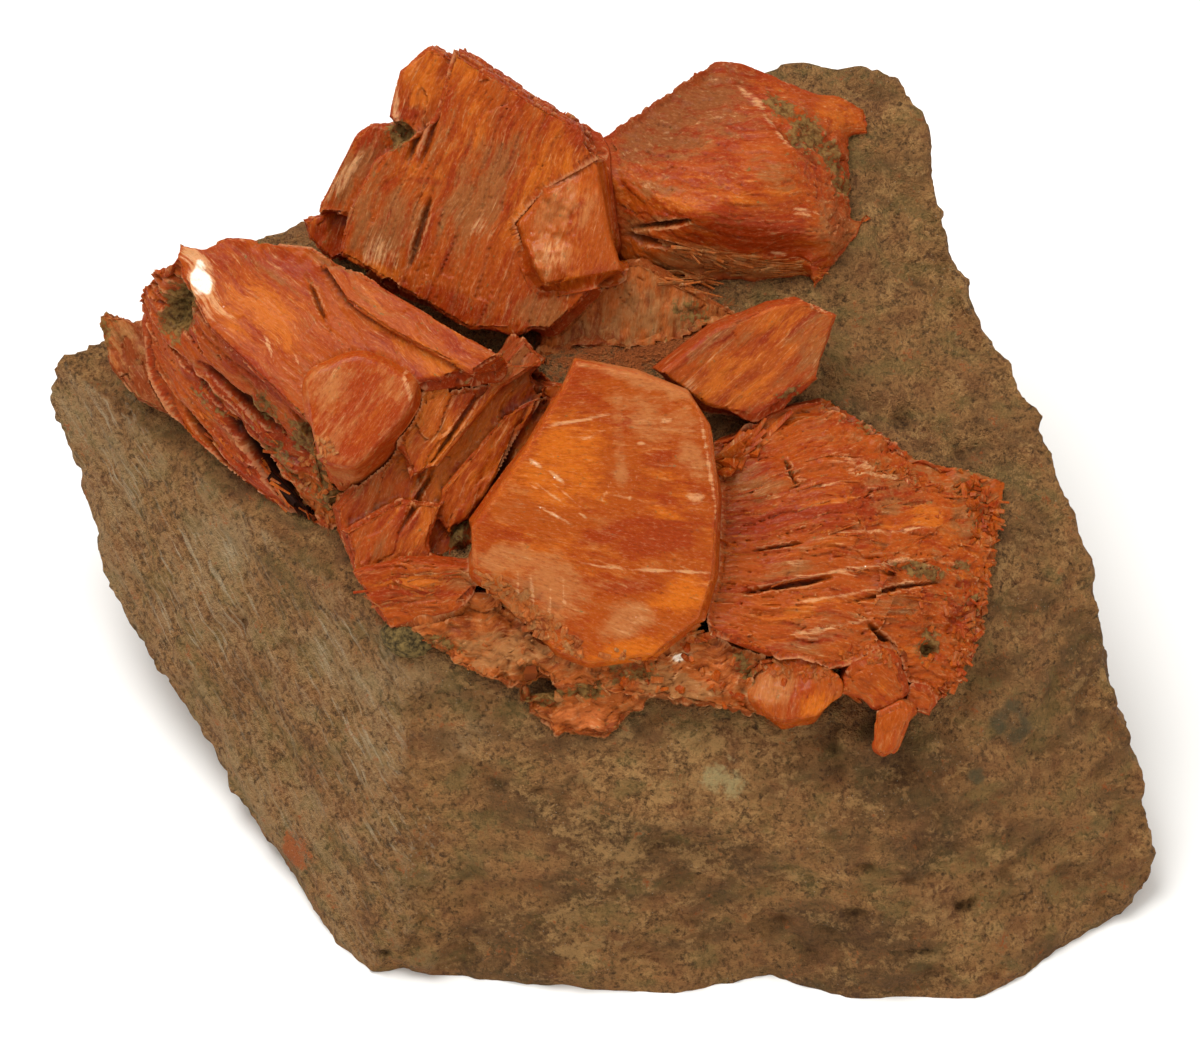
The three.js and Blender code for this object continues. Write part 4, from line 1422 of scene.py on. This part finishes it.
@dataclass(frozen=True)
class BasaltFinish:
    """Brown fine-grained basalt, with the height of its fine grain in millimetres."""

    name: str = "basalt"
    body: int = 0xBC864E
    dark: int = 0x5C4024
    tan: int = 0xE2AE6C
    grey: int = 0xC8A676
    hair: int = 0xD8C09A
    olive: int = 0x8C7C44
    russet: int = 0x9E6038
    green: int = 0xD8C084
    slate: int = 0x5E563A
    rust: int = 0xC8662C
    # Colour of the painted sparkle highlights.
    painted_sparkle: int = 0xD8C4A2
    specular: float = 0.2
    relief: float = 1.9

    def _stained(self, maker: Maker, colour: Term, mottles: Term, speckle: Term) -> Term:
        """Lays the green, slate and rust spots over the rock's colour.

        Args:
            maker: Makes the nodes.
            colour: The colour under the spots.
            mottles: Mottling around a half, which breaks up their edges.
            speckle: Finer mottling around 0.

        Returns:
            The colour with the spots.
        """
        stains = (Stain.GREEN, Stain.SLATE, Stain.RUST)
        green, slate, rust = (maker.attribute(stain.value) for stain in stains)
        greenish = (green + 5.0 * (mottles - 0.5) - 0.5).above(0.0, 0.8) * 0.75
        colour = maker.mixed(greenish, colour, linear(self.green))
        slaty = (slate + 3.2 * (mottles - 0.5) + 0.3 * speckle - 0.3).above(0.0, 0.8) * 0.8
        colour = maker.mixed(slaty, colour, linear(self.slate))
        rusty = (rust + 3.0 * (mottles - 0.5) + 0.5 * speckle - 0.3).above(0.0, 0.7) * 0.85
        return maker.mixed(rusty, colour, linear(self.rust))

    def _left_face(self, maker: Maker, colour: Term, streak: Term, lines: Term, cloudy: Term) -> Term:
        """Lays the greyish streaks of the left face over the rock's colour.

        Args:
            maker: Makes the nodes.
            colour: The colour under the streaks.
            streak: Places along and across the streaks.
            lines: The streaks' own pattern.
            cloudy: Large and small mottling, around 0.

        Returns:
            The colour with streaks on the left face.
        """
        left, frost = maker.attribute("left"), maker.attribute(Stain.FROST.value)
        pale_lines = 4.0 * (lines - 0.5) + cloudy + 0.15 * frost
        colour = maker.mixed((left * (0.2 + pale_lines)).held() * 0.6, colour, linear(self.grey))
        colour = maker.mixed((left * (0.0 - pale_lines)).held() * 0.45, colour, linear(self.dark))
        fine_lines = maker.grain(maker.stretched(streak, (3.0, 3.0, 0.22)), 1.0, 4.0, 0.65)
        hairs = (fine_lines - 0.52).above(0.0, 0.14) * (0.4 * left + frost).held()
        return maker.mixed(hairs * 0.6, colour, linear(self.hair))

    def material(self) -> bpy.types.Material:
        """Makes the basalt's material.

        Returns:
            A rough stone, mottled dark and tan, with fine bright grains.
        """
        maker = Maker(self.name)
        place = maker.places()
        streak = maker.attribute("streak", "Vector")
        left, shade, light = (maker.attribute(name) for name in ("left", "shade", "light"))
        clouds = maker.grain(place, 0.14, 4.0, 0.6)
        mottles = maker.grain(place, 0.6, 5.0, 0.7)
        grit = maker.grain(place, 3.4, 3.0, 0.8)
        grains = maker.term("SeparateColor", {}, {0: maker.cells(place, 2.6, "Color")}, 0)
        lines = maker.grain(maker.stretched(streak, (1.1, 1.1, 0.16)), 1.0, 6.0, 0.7)
        patches = maker.grain(maker.stretched(place, (0.13, 0.25, 0.4)), 1.0, 5.0, 0.62, 2.0)
        layers = maker.grain(maker.stretched(place, (0.36, 0.5, 0.8)), 1.0, 6.0, 0.7, 4.0)
        hues = maker.grain(maker.stretched(place, (0.3, 0.4, 0.5)), 1.0, 5.0, 0.6, 6.0)
        dark, tan = linear(self.dark), linear(self.tan)

        speckle = 3.7 * (grit - 0.5) + 0.7 * (grains - 0.5) + 1.4 * (mottles - 0.5)
        colour = maker.mixed((0.8 + speckle).held(), dark, linear(self.body))
        hues = hues + 0.3 * (mottles - 0.5)
        colour = maker.mixed((hues - 0.5).above(0.0, 0.12) * 0.4, colour, linear(self.olive))
        colour = maker.mixed((0.48 - hues).above(0.0, 0.12) * 0.35, colour, linear(self.russet))
        front = 1.0 - left * 0.8
        darker = 7.0 * (patches - 0.53) + 2.0 * (mottles - 0.5) + 0.6 * speckle + 1.1 * shade
        colour = maker.mixed(darker.above(0.0, 0.7) * front * 0.56, colour, dark)
        paler = 6.0 * (layers - 0.53) + 2.0 * (clouds - 0.5) + 0.8 * speckle + 0.5 * light
        colour = maker.mixed(paler.above(0.0, 1.1) * front * 0.6, colour, tan)
        colour = self._left_face(maker, colour, streak, lines, 4.0 * (clouds - 0.5) + 0.6 * speckle)
        colour = self._stained(maker, colour, mottles, speckle)
        # Painted sparkles: small pale highlights, where the rock is also a little less rough.
        sparkle_highlight = (0.13 - maker.cells(place, 2.4)).above(0.0, 0.05) * (clouds - 0.45).above(0.0, 0.15)
        colour = maker.mixed(sparkle_highlight * 0.5, colour, linear(self.painted_sparkle))
        # Painted shade: pits and low places are darkened.
        colour = maker.mixed(maker.attribute("low") * 0.5, colour, dark, "MULTIPLY")

        rough = (0.82 - 0.3 * sparkle_highlight + 0.25 * (grit - 0.5)).held()
        dust = maker.grain(place, 7.0, 2.0)
        height = grit + 1.2 * mottles + left * lines + 0.25 * grains + 0.4 * dust
        bump = maker.bumped(1.0, self.relief, height)
        sockets = {"Base Color": colour, "Roughness": rough, "Normal": bump}
        return maker.finish(sockets | {"Specular IOR Level": self.specular})


@dataclass(frozen=True)
class Bumps:
    """One kind of unevenness: how wide its bumps are and how high they stand, in millimetres."""

    size: float
    height: float


@dataclass
class BasaltLump:
    """The lump of basalt that the crystals grew on.

    Voxel is how far apart its mesh's points are, base_cut how much is cut off underneath, join how far
    it grows up round the crystals and sharp the angle in degrees from which an edge looks sharp.
    """

    node: str = "basalt_matrix"
    finish: BasaltFinish = BasaltFinish()
    voxel: float = 0.42
    base_cut: float = 0.25
    base_slack: float = 0.001
    join: float = 0.42
    sharp: float = 50.0
    scallop: Bumps = Bumps(6.5, 0.3)
    lump: Bumps = Bumps(4.4, 0.55)
    crag: Bumps = Bumps(3.4, 0.5)
    grit: Bumps = Bumps(1.1, 0.35)
    pit: Bumps = Bumps(1.7, 0.5)
    groove: Bumps = Bumps(1.5, 0.3)
    left_facing: tuple[float, float, float] = (-0.65, -0.6, 0.46)
    streaks: tuple[float, float, float] = (0.48, -0.8, -0.37)
    spots: tuple[Spot, ...] = (
        Spot(Stain.SLATE, (29.5, -16.1, 14.0), 1.55),
        Spot(Stain.SLATE, (27.0, -19.4, 11.9), 0.9),
        Spot(Stain.GREEN, (9.2, -20.9, 13.6), 1.8),
        Spot(Stain.PITTED, (20.4, 2.0, 24.6), 4.0),
        Spot(Stain.PITTED, (24.5, -0.4, 23.8), 3.0),
        Spot(Stain.PITTED, (18.6, -18.6, 15.0), 4.0),
        Spot(Stain.FROST, (-16.2, -18.0, 12.6), 3.6),
        Spot(Stain.FROST, (-18.6, -12.0, 16.0), 3.6),
        Spot(Stain.FROST, (-13.8, -22.6, 9.6), 3.0),
        Spot(Stain.FROST, (-34.6, 6.5, 18.4), 4.0),
        Spot(Stain.FROST, (-28.6, -3.8, 13.7), 5.0),
        Spot(Stain.SHADE, (1.5, -25.0, 8.8), 4.5),
        Spot(Stain.SHADE, (7.5, -24.8, 8.1), 4.5),
        Spot(Stain.SHADE, (18.1, -28.8, 2.7), 5.0),
        Spot(Stain.SHADE, (22.8, -22.3, 11.2), 4.5),
        Spot(Stain.SHADE, (-6.7, -27.8, 1.7), 4.0),
        Spot(Stain.SHADE, (33.0, -8.0, 12.0), 6.0),
        Spot(Stain.LIGHT, (-0.8, -27.4, 4.2), 3.0),
        Spot(Stain.LIGHT, (24.5, -27.6, 4.7), 3.4),
        Spot(Stain.LIGHT, (9.5, -21.3, 13.2), 5.0),
        Spot(Stain.LIGHT, (2.0, -22.6, 11.4), 5.0),
        Spot(Stain.RUST, (1.0, 8.7, 25.8), 5.0),
        Spot(Stain.RUST, (6.0, 9.0, 26.5), 4.0),
        Spot(Stain.RUST, (-21.2, -19.6, 3.5), 1.6),
    )

    def _flat_based(self) -> bpy.types.Mesh:
        """Makes the lump's even mesh flat underneath.

        Returns:
            The mesh, in metres.
        """
        bm = bmesh.new()
        bm.from_mesh(even_mesh(self.node, self.voxel))
        geometry = bm.verts[:] + bm.edges[:] + bm.faces[:]
        base = Vector((0, 0, self.base_cut * MM))
        down = (0, 0, -1)
        cut = bmesh.ops.bisect_plane(bm, geom=geometry, plane_co=base, plane_no=down, clear_outer=True)
        rim = [edge for edge in cut["geom_cut"] if isinstance(edge, bmesh.types.BMEdge)]
        bmesh.ops.edgeloop_fill(bm, edges=rim)
        return mesh_of(self.node + "_rough", bm)

    def _stains(self, places: np.ndarray) -> dict[str, np.ndarray]:
        """How strongly each stain shows at each place.

        Args:
            places: Points in millimetres.

        Returns:
            For each stain, one number from 0 to 1 for each point.
        """
        shown = {}
        for stain in Stain:
            found = [spot.over(places) for spot in self.spots if spot.stain is stain]
            shown[stain.value] = np.max(found, axis=0)
        return shown

    def _streaked(self, places: np.ndarray) -> np.ndarray:
        """Measures places along the left face's streaks.

        Args:
            places: Points in millimetres.

        Returns:
            The same points across the streaks, out of the face and along the streaks.
        """
        run = np.array(self.streaks) / np.linalg.norm(self.streaks)
        square = np.cross(run, self.left_facing)
        square /= np.linalg.norm(square)
        return places @ np.stack([square, np.cross(square, run), run], axis=-1)

    def _shape(self, mesh: bpy.types.Mesh, crystals_near: BVHTree) -> dict[str, np.ndarray]:
        """Breaks up the lump's surface.

        Args:
            mesh: The even mesh, in metres.
            crystals_near: Every crystal's surface, in metres.

        Returns:
            What the material reads at each point.
        """
        places = points_of(mesh) * PER_METRE
        normals = normals_of(mesh)
        side = eased(normals @ np.array(self.left_facing), 0.72, 0.9)
        side *= eased(3.5 * fractal(places, 4.0, 47) - places[:, 0], 6.0, 12.0)
        streak = self._streaked(places)
        grooves = fractal(streak * np.array([1.0, 1.0, 0.1]), self.groove.size, 5, 3)
        warp = np.stack([noise(places, 2.6, seed) for seed in (9, 10, 12)], axis=-1)
        scallops = nearest_grain(places + 1.3 * warp, self.scallop.size, 11)
        lumps = fractal(places, self.lump.size, 17, 5)
        layered = places * np.array([0.8, 1.0, 1.6]) + 0.7 * warp
        crags = 0.55 - 2.0 * np.abs(fractal(layered, self.crag.size, 19, 4))
        grit = fractal(places, self.grit.size, 23, 2)
        pits = eased(-fractal(layered, self.pit.size, 29, 2), 0.38, 0.75)
        pits = pits * eased(noise(places, 7.0, 33), -0.1, 0.6)
        shown = self._stains(places)
        crowded = eased(-fractal(places, 1.3, 53, 2), 0.0, 0.35)
        pits = np.maximum(pits, shown[Stain.PITTED.value] * crowded)
        crest = 4 * side * (1 - side) * eased(-normals[:, 1], 0.6, 0.72)
        height = self.scallop.height * (scallops - 0.55) + self.lump.height * lumps
        height = height + self.crag.height * crags + self.grit.height * grit - self.pit.height * pits
        height = height * (1 - 0.45 * side) + self.groove.height * side * grooves
        height += crest * (0.5 + 0.8 * fractal(places, 1.8, 43, 3))
        near = np.array([crystals_near.find_nearest(place)[3] for place in places * MM]) * PER_METRE
        height = height * (0.35 + 0.65 * eased(near, 0.4, 2.0))
        height = height + self.join * (1 - eased(near, 0.45, 1.3))
        keep = 0.5 + 0.5 * eased(places[:, 2], self.base_cut, self.base_cut + 1.5)
        moved = places + normals * (height * keep)[:, None]
        flat = places[:, 2] <= self.base_cut + self.base_slack
        moved[:, 2] = np.where(flat, 0.0, moved[:, 2])
        move_points(mesh, inside_box(moved * MM))
        # Pits and low places, which the material darkens as painted shade.
        low = np.clip(pits + eased(-height, 0.3, 1.2), 0, 1)
        return shown | {"streak": streak, "left": side, "low": low}

    def build(self, crystals_near: BVHTree) -> bpy.types.Object:
        """Makes the rough lump and dresses it.

        Args:
            crystals_near: Every crystal's surface, in metres.

        Returns:
            The finished piece, which stands for the lump's plain body.
        """
        mesh = self._flat_based()
        shown = self._shape(mesh, crystals_near)
        piece = finished_object(mesh, self.sharp)
        for name, values in shown.items():
            store(piece.data, name, values)
        piece.data.materials.append(self.finish.material())
        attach(piece, BODY)
        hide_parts(self.node)
        return piece


def surfaces(pieces: list[bpy.types.Object]) -> BVHTree:
    """Puts several pieces together as one thing to measure distances to.

    Args:
        pieces: Objects whose meshes are in metres and in their places.

    Returns:
        All their surfaces.
    """
    bm = bmesh.new()
    for piece in pieces:
        bm.from_mesh(piece.data)
    tree = BVHTree.FromBMesh(bm)
    bm.free()
    return tree


@dataclass(frozen=True)
class Thicket:
    """A stretch of a crystal's face that small blades grow on.

    Place and reach are in millimetres along the face. The lean is the blades' direction in degrees from
    the fibres under them, with the spread on either side of it, and rise is how steeply they stand.
    """

    node: str
    place: tuple[float, float]
    reach: tuple[float, float]
    count: int
    lean: float
    spread: float
    rise: float
    length: tuple[float, float]
    width: tuple[float, float]
    turn: float = 0.0

    def spot(self, rng: np.random.Generator) -> tuple[float, float]:
        """Picks a chance place in the stretch.

        Args:
            rng: The piece's own random numbers.

        Returns:
            How far it is to the right and up, in millimetres along the face.
        """
        angle = rng.uniform(0, 2 * math.pi)
        far = math.sqrt(rng.uniform(0, 1))
        along, across = self.reach[0] * far * math.cos(angle), self.reach[1] * far * math.sin(angle)
        turned = math.radians(self.turn)
        right = self.place[0] + along * math.cos(turned) - across * math.sin(turned)
        return right, self.place[1] + along * math.sin(turned) + across * math.cos(turned)


@dataclass
class SmallBlades:
    """Many small crystals of one finish, joined.

    Flatness is a blade's thickness as a share of its width, and roll how far it may turn about its own
    length, in radians. Tip is its end's width as a share of its foot's, and rising is the share of the
    thicket's rise that it stands at, both as the least and the most. Forward and sunk are how far it is
    moved along its length and into the face, as shares of its length and width. Veil and glow are the
    most that a blade has of them.
    """

    name: str
    finish: HeulanditeFinish
    thickets: tuple[Thicket, ...]
    seed: int = 0
    sides: int = 6
    flatness: float = 0.45
    roll: float = 0.35
    tip: tuple[float, float] = (0.25, 0.85)
    rising: tuple[float, float] = (-0.2, 1.4)
    forward: float = 0.1
    sunk: float = 0.15
    sharp: float = 20.0
    veil: float = 0.6
    glow: float = 0.5

    def _plant(
        self,
        bm: bmesh.types.BMesh,
        thicket: Thicket,
        crystal: Crystal,
        ground: BVHTree,
        rng: np.random.Generator,
    ) -> None:
        """Grows one thicket's blades.

        Args:
            bm: The mesh that the blades are added to, in metres.
            thicket: Where and how they grow.
            crystal: The crystal that they grow on.
            ground: The surfaces of the finished crystals, in metres.
            rng: The piece's own random numbers.
        """
        face, middle = crystal.frame()
        for _ in range(thicket.count):
            right, up = thicket.spot(rng)
            spot, normal = land(face, middle, right, up, ground)
            lean = crystal.flow.heading(right, up)
            lean += math.radians(thicket.lean + thicket.spread * rng.uniform(-1, 1))
            rise = math.radians(thicket.rise * rng.uniform(*self.rising))
            length, width = rng.uniform(*thicket.length), rng.uniform(*thicket.width)
            roll, tip = rng.uniform(-self.roll, self.roll), rng.uniform(*self.tip)
            if spot is None:
                continue
            flat = Vector(math.cos(lean) * face[0] + math.sin(lean) * face[1])
            flat = (flat - normal * flat.dot(normal)).normalized()
            run = math.cos(rise) * flat + math.sin(rise) * normal
            side = normal.cross(run).normalized()
            turned = Matrix((side, run.cross(side), run)).transposed().to_4x4()
            turned = turned @ Matrix.Rotation(roll, 4, "Z")
            size = Matrix.Diagonal((width, width * self.flatness, length, 1.0)) @ Matrix.Scale(MM, 4)
            shift = run * length * self.forward - normal * width * self.sunk
            place = Matrix.Translation(spot + shift * MM) @ turned @ size
            shape = {"segments": self.sides, "radius1": 0.5, "radius2": 0.5 * tip, "depth": 1.0}
            bmesh.ops.create_cone(bm, cap_ends=True, matrix=place, **shape)

    def build(self, grown_on: dict[str, Crystal], ground: BVHTree) -> bpy.types.Object:
        """Grows every thicket.

        Args:
            grown_on: The crystals by their nodes.
            ground: The surfaces of the finished crystals, in metres.

        Returns:
            The finished piece.
        """
        rng = np.random.default_rng(self.seed + BLADE_SEED)
        bm = bmesh.new()
        for thicket in self.thickets:
            self._plant(bm, thicket, grown_on[thicket.node], ground, rng)
        mesh = mesh_of(self.name, bm)
        places = inside_box(points_of(mesh))
        move_points(mesh, places)
        shares = np.arange(len(places)) // (2 * self.sides)
        piece = finished_object(mesh, self.sharp)
        store(piece.data, "fibre", places * PER_METRE)
        store(piece.data, "tone", hashed_index(shares, self.seed + 1))
        store(piece.data, "bundle", hashed_index(shares, self.seed + 4))
        store(piece.data, "veil", self.veil * hashed_index(shares, self.seed + 2))
        store(piece.data, "glow", self.glow * hashed_index(shares, self.seed + 3) ** 2)
        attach(piece, BODY)
        return piece


def land(
    face: np.ndarray, middle: np.ndarray, right: float, up: float, ground: BVHTree
) -> tuple[Vector | None, Vector | None]:
    """Drops a point on a surface from over a crystal's face.

    Args:
        face: The face's own directions as rows.
        middle: The middle of the crystal's box, in millimetres.
        right: How far to the right of the middle, in millimetres along the face.
        up: How far up from the middle, in millimetres along the face.
        ground: The surface, in metres.

    Returns:
        Where it lands and the surface's direction there, or Nones.
    """
    over = (middle + right * face[0] + up * face[1] + DROP * face[2]) * MM
    return ground.ray_cast(Vector(over), Vector(-face[2]), 2 * DROP * MM)[:2]


@dataclass
class Amygdule:
    """The round olive filling of an old gas bubble, at the foot of the crystals."""

    name: str = "olive_amygdule"
    place: tuple[float, float, float] = (-13.0, -13.6, 20.7)
    radii: tuple[float, float, float] = (2.1, 1.8, 1.6)
    lump: Bumps = Bumps(1.2, 0.22)
    grain: Bumps = Bumps(0.45, 0.16)
    subdivisions: int = 6
    dark: int = 0x2E2410
    pale: int = 0x7A6236
    relief: float = 0.15

    def build(self) -> bpy.types.Object:
        """Makes the finely lumpy ball, half sunk in the basalt.

        Returns:
            The finished piece.
        """
        bm = bmesh.new()
        shape = Matrix.Translation(self.place) @ Matrix.Diagonal((*self.radii, 1.0))
        bmesh.ops.create_icosphere(bm, subdivisions=self.subdivisions, radius=1.0, matrix=shape)
        mesh = mesh_of(self.name, bm)
        places = points_of(mesh)
        lumps = self.lump.height * fractal(places, self.lump.size, 61, 3)
        lumps = lumps - self.grain.height * nearest_grain(places, self.grain.size, 63)
        move_points(mesh, inside_box((places + normals_of(mesh) * lumps[:, None]) * MM))
        piece = finished_object(mesh)
        maker = Maker("olive_filling")
        grain = maker.grain(maker.places(), 2.4, 4.0, 0.7)
        colour = maker.mixed((grain - 0.36).above(0.0, 0.3), linear(self.dark), linear(self.pale))
        bump = maker.bumped(0.8, self.relief, grain)
        rough = 0.95 - 0.1 * grain
        sockets = {"Base Color": colour, "Roughness": rough, "Normal": bump, "Specular IOR Level": 0.2}
        piece.data.materials.append(maker.finish(sockets))
        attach(piece, BODY)
        return piece


def small_blades() -> list[SmallBlades]:
    """The small crystals of the crust and the splinters of the sheaves.

    Returns:
        The pieces, each with its own finish.
    """
    druse = (
        Thicket("front_crust", (-2.4, -0.4), (8.4, 2.2), 40, 20, 180, 30, (0.4, 1.0), (0.3, 0.8), -4),
        Thicket(
            "centre_tablet", (-4.7, -7.5), (4.6, 0.8), 120, 20, 180, 20, (0.4, 1.1), (0.3, 0.8), -40
        ),
        Thicket("front_crust", (7.0, -0.6), (6.5, 2.2), 30, -10, 120, 30, (0.4, 1.0), (0.3, 0.8), -4),
        Thicket(
            "front_half_moon", (0.2, 2.0), (3.2, 0.6), 44, 10, 180, 16, (0.3, 0.9), (0.25, 0.6), -6
        ),
        Thicket("front_knob", (-0.4, 1.7), (2.4, 0.6), 34, 10, 180, 16, (0.3, 0.9), (0.25, 0.6), 0),
    )
    border = (
        Thicket("right_sheaf", (8.4, 2.4), (2.6, 4.6), 36, -6, 60, 14, (0.5, 1.2), (0.25, 0.6), 0),
        Thicket("right_sheaf", (6.0, -6.5), (3.6, 4.0), 44, -20, 90, 14, (0.5, 1.2), (0.25, 0.6), 20),
        Thicket("right_sheaf", (9.2, 1.0), (1.1, 3.6), 110, 0, 90, 14, (0.4, 1.2), (0.3, 0.7), 8),
        Thicket("right_sheaf", (7.0, -6.4), (1.0, 4.8), 110, -10, 90, 14, (0.4, 1.1), (0.3, 0.7), -22),
        Thicket("right_sheaf", (4.4, 4.5), (3.8, 0.6), 60, -20, 60, 8, (0.4, 1.1), (0.3, 0.6), -28),
    )
    splinters = (
        Thicket("right_sheaf", (-2.0, 0.5), (9.0, 7.0), 60, 0, 7, 2, (1.4, 4.0), (0.12, 0.36), 0),
        Thicket("front_fold", (0.0, -0.4), (3.6, 1.5), 30, 0, 12, 4, (1.2, 3.0), (0.16, 0.4), 4),
        Thicket("left_book", (-3.5, -7.6), (7.0, 2.0), 50, 0, 8, 3, (0.8, 2.0), (0.16, 0.4), -38),
        Thicket("front_crust", (7.2, 2.3), (0.9, 0.6), 14, 35, 30, 8, (1.2, 2.2), (0.5, 1.0), 30),
        Thicket("right_sheaf", (-7.8, 7.6), (2.2, 0.7), 40, 34, 16, 4, (2.6, 5.0), (0.5, 1.3), 32),
        Thicket("front_knob", (-1.6, -1.6), (0.8, 0.5), 12, -40, 14, -26, (2.0, 3.2), (0.6, 1.2), 0),
    )
    fringe = (
        Thicket("left_book", (2.0, -8.6), (1.8, 2.4), 70, 40, 90, 25, (0.5, 1.2), (0.3, 0.7), 20),
    )
    hem = (
        Thicket(
            "upper_right_sheaf", (-0.6, -5.8), (5.2, 0.9), 110, 2, 10, 4, (1.6, 4.2), (0.14, 0.36), -14
        ),
        Thicket(
            "upper_right_sheaf", (-3.2, -7.2), (3.2, 0.6), 50, 4, 12, 8, (1.4, 3.4), (0.14, 0.4), -16
        ),
    )
    return [
        SmallBlades("crust_druse", BROWN_RED, druse[:2], 1, flatness=0.7),
        SmallBlades("crust_druse_right", RED, druse[2:], 2, flatness=0.7),
        SmallBlades("right_border_blades", RED, border, 3, flatness=0.6),
        SmallBlades("sheaf_splinters", RED, splinters, 5, flatness=0.4),
        SmallBlades("left_book_fringe", BROWN_RED, fringe, 4, flatness=0.4),
        SmallBlades("upper_right_hem", BROWN_RED, hem, 6, flatness=0.5),
    ]


@dataclass
class Studio:
    """A pale floor, soft light and the camera. Places are in millimetres and lamp powers in watts."""

    target: tuple[float, float, float] = (0.377, -1.70, 18.0)
    distance: float = 420.0
    elevation: float = 50.0
    lens: float = 175.0
    sensor: float = 36.0
    floor_half: float = 900.0
    floor_colour: int = 0xF6F5F2
    floor_mottle: int = 0xE9E8E4
    sky_colour: int = 0xFDFBF8
    sky: float = 0.76
    overhead_place: tuple[float, float, float] = (-120.0, 60.0, 420.0)
    overhead_width: float = 260.0
    overhead_power: float = 1.6
    front_place: tuple[float, float, float] = (260.0, -380.0, 300.0)
    front_width: float = 300.0
    front_power: float = 0.35
    nearest: float = 10.0

    def _floor(self) -> None:
        """Lays the floor that the lump stands on."""
        bm = bmesh.new()
        bmesh.ops.create_grid(bm, x_segments=2, y_segments=2, size=self.floor_half * MM)
        floor = finished_object(mesh_of("floor", bm))
        maker = Maker("pale_floor")
        mottle = maker.grain(maker.places(), 0.01, 2.0)
        colour = maker.mixed(mottle * 0.1, linear(self.floor_colour), linear(self.floor_mottle))
        floor.data.materials.append(maker.finish({"Base Color": colour, "Roughness": 0.9}))

    def _lamp(self, name: str, place: tuple[float, float, float], size: float, power: float) -> None:
        """Hangs a soft square lamp that looks at the target.

        Args:
            name: The lamp's name.
            place: Where it hangs, in millimetres.
            size: How wide it is, in millimetres.
            power: Its power in watts.
        """
        data = bpy.data.lights.new(name, "AREA")
        data.size = size * MM
        data.energy = power
        lamp = bpy.data.objects.new(name, data)
        lamp.location = Vector(place) * MM
        run = Vector(self.target) * MM - lamp.location
        lamp.rotation_euler = run.to_track_quat("-Z", "Y").to_euler()
        bpy.context.scene.collection.objects.link(lamp)

    def build(self) -> None:
        """Sets up the floor, the sky, the lamps and the camera."""
        self._floor()
        world = bpy.data.worlds.new("soft_sky")
        world.use_nodes = True
        sky = world.node_tree.nodes["Background"]
        sky.inputs["Color"].default_value = linear(self.sky_colour)
        sky.inputs["Strength"].default_value = self.sky
        bpy.context.scene.world = world
        self._lamp("overhead_lamp", self.overhead_place, self.overhead_width, self.overhead_power)
        self._lamp("front_lamp", self.front_place, self.front_width, self.front_power)
        data = bpy.data.cameras.new("camera")
        data.lens = self.lens
        data.sensor_width = self.sensor
        data.clip_start = self.nearest * MM
        camera = bpy.data.objects.new("camera", data)
        tilt = math.radians(self.elevation)
        away = Vector((0, -math.cos(tilt), math.sin(tilt))) * self.distance
        camera.location = (Vector(self.target) + away) * MM
        camera.rotation_euler = (math.radians(90 - self.elevation), 0, 0)
        bpy.context.scene.collection.objects.link(camera)
        bpy.context.scene.camera = camera
        bpy.context.scene.view_settings.view_transform = "Standard"


def report(piece: bpy.types.Object) -> None:
    """Logs a finished piece's size."""
    LOG.info("%s: %d triangles", piece.name, len(piece.data.polygons))


def main() -> None:
    """Builds the studio, the rock and every crystal."""
    logging.basicConfig(level=logging.INFO, format="%(message)s")
    Studio().build()
    all_crystals = crystals()
    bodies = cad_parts
    rock = BasaltLump().build(surfaces([bodies[crystal.node] for crystal in all_crystals]))
    report(rock)
    materials = {finish.name: finish.material() for finish in (ORANGE, RED, BROWN_RED)}
    pieces = []
    for crystal in all_crystals:
        others = surfaces([bodies[name] for name in bodies if name != crystal.node])
        piece = crystal.build(others)
        piece.data.materials.append(materials[crystal.finish.name])
        pieces.append(piece)
        report(piece)
    by_node = {crystal.node: crystal for crystal in all_crystals}
    ground = surfaces(pieces)
    for blades in small_blades():
        piece = blades.build(by_node, ground)
        piece.data.materials.append(materials[blades.finish.name])
        report(piece)
    report(Amygdule().build())


if __name__ == "__main__":
    main()
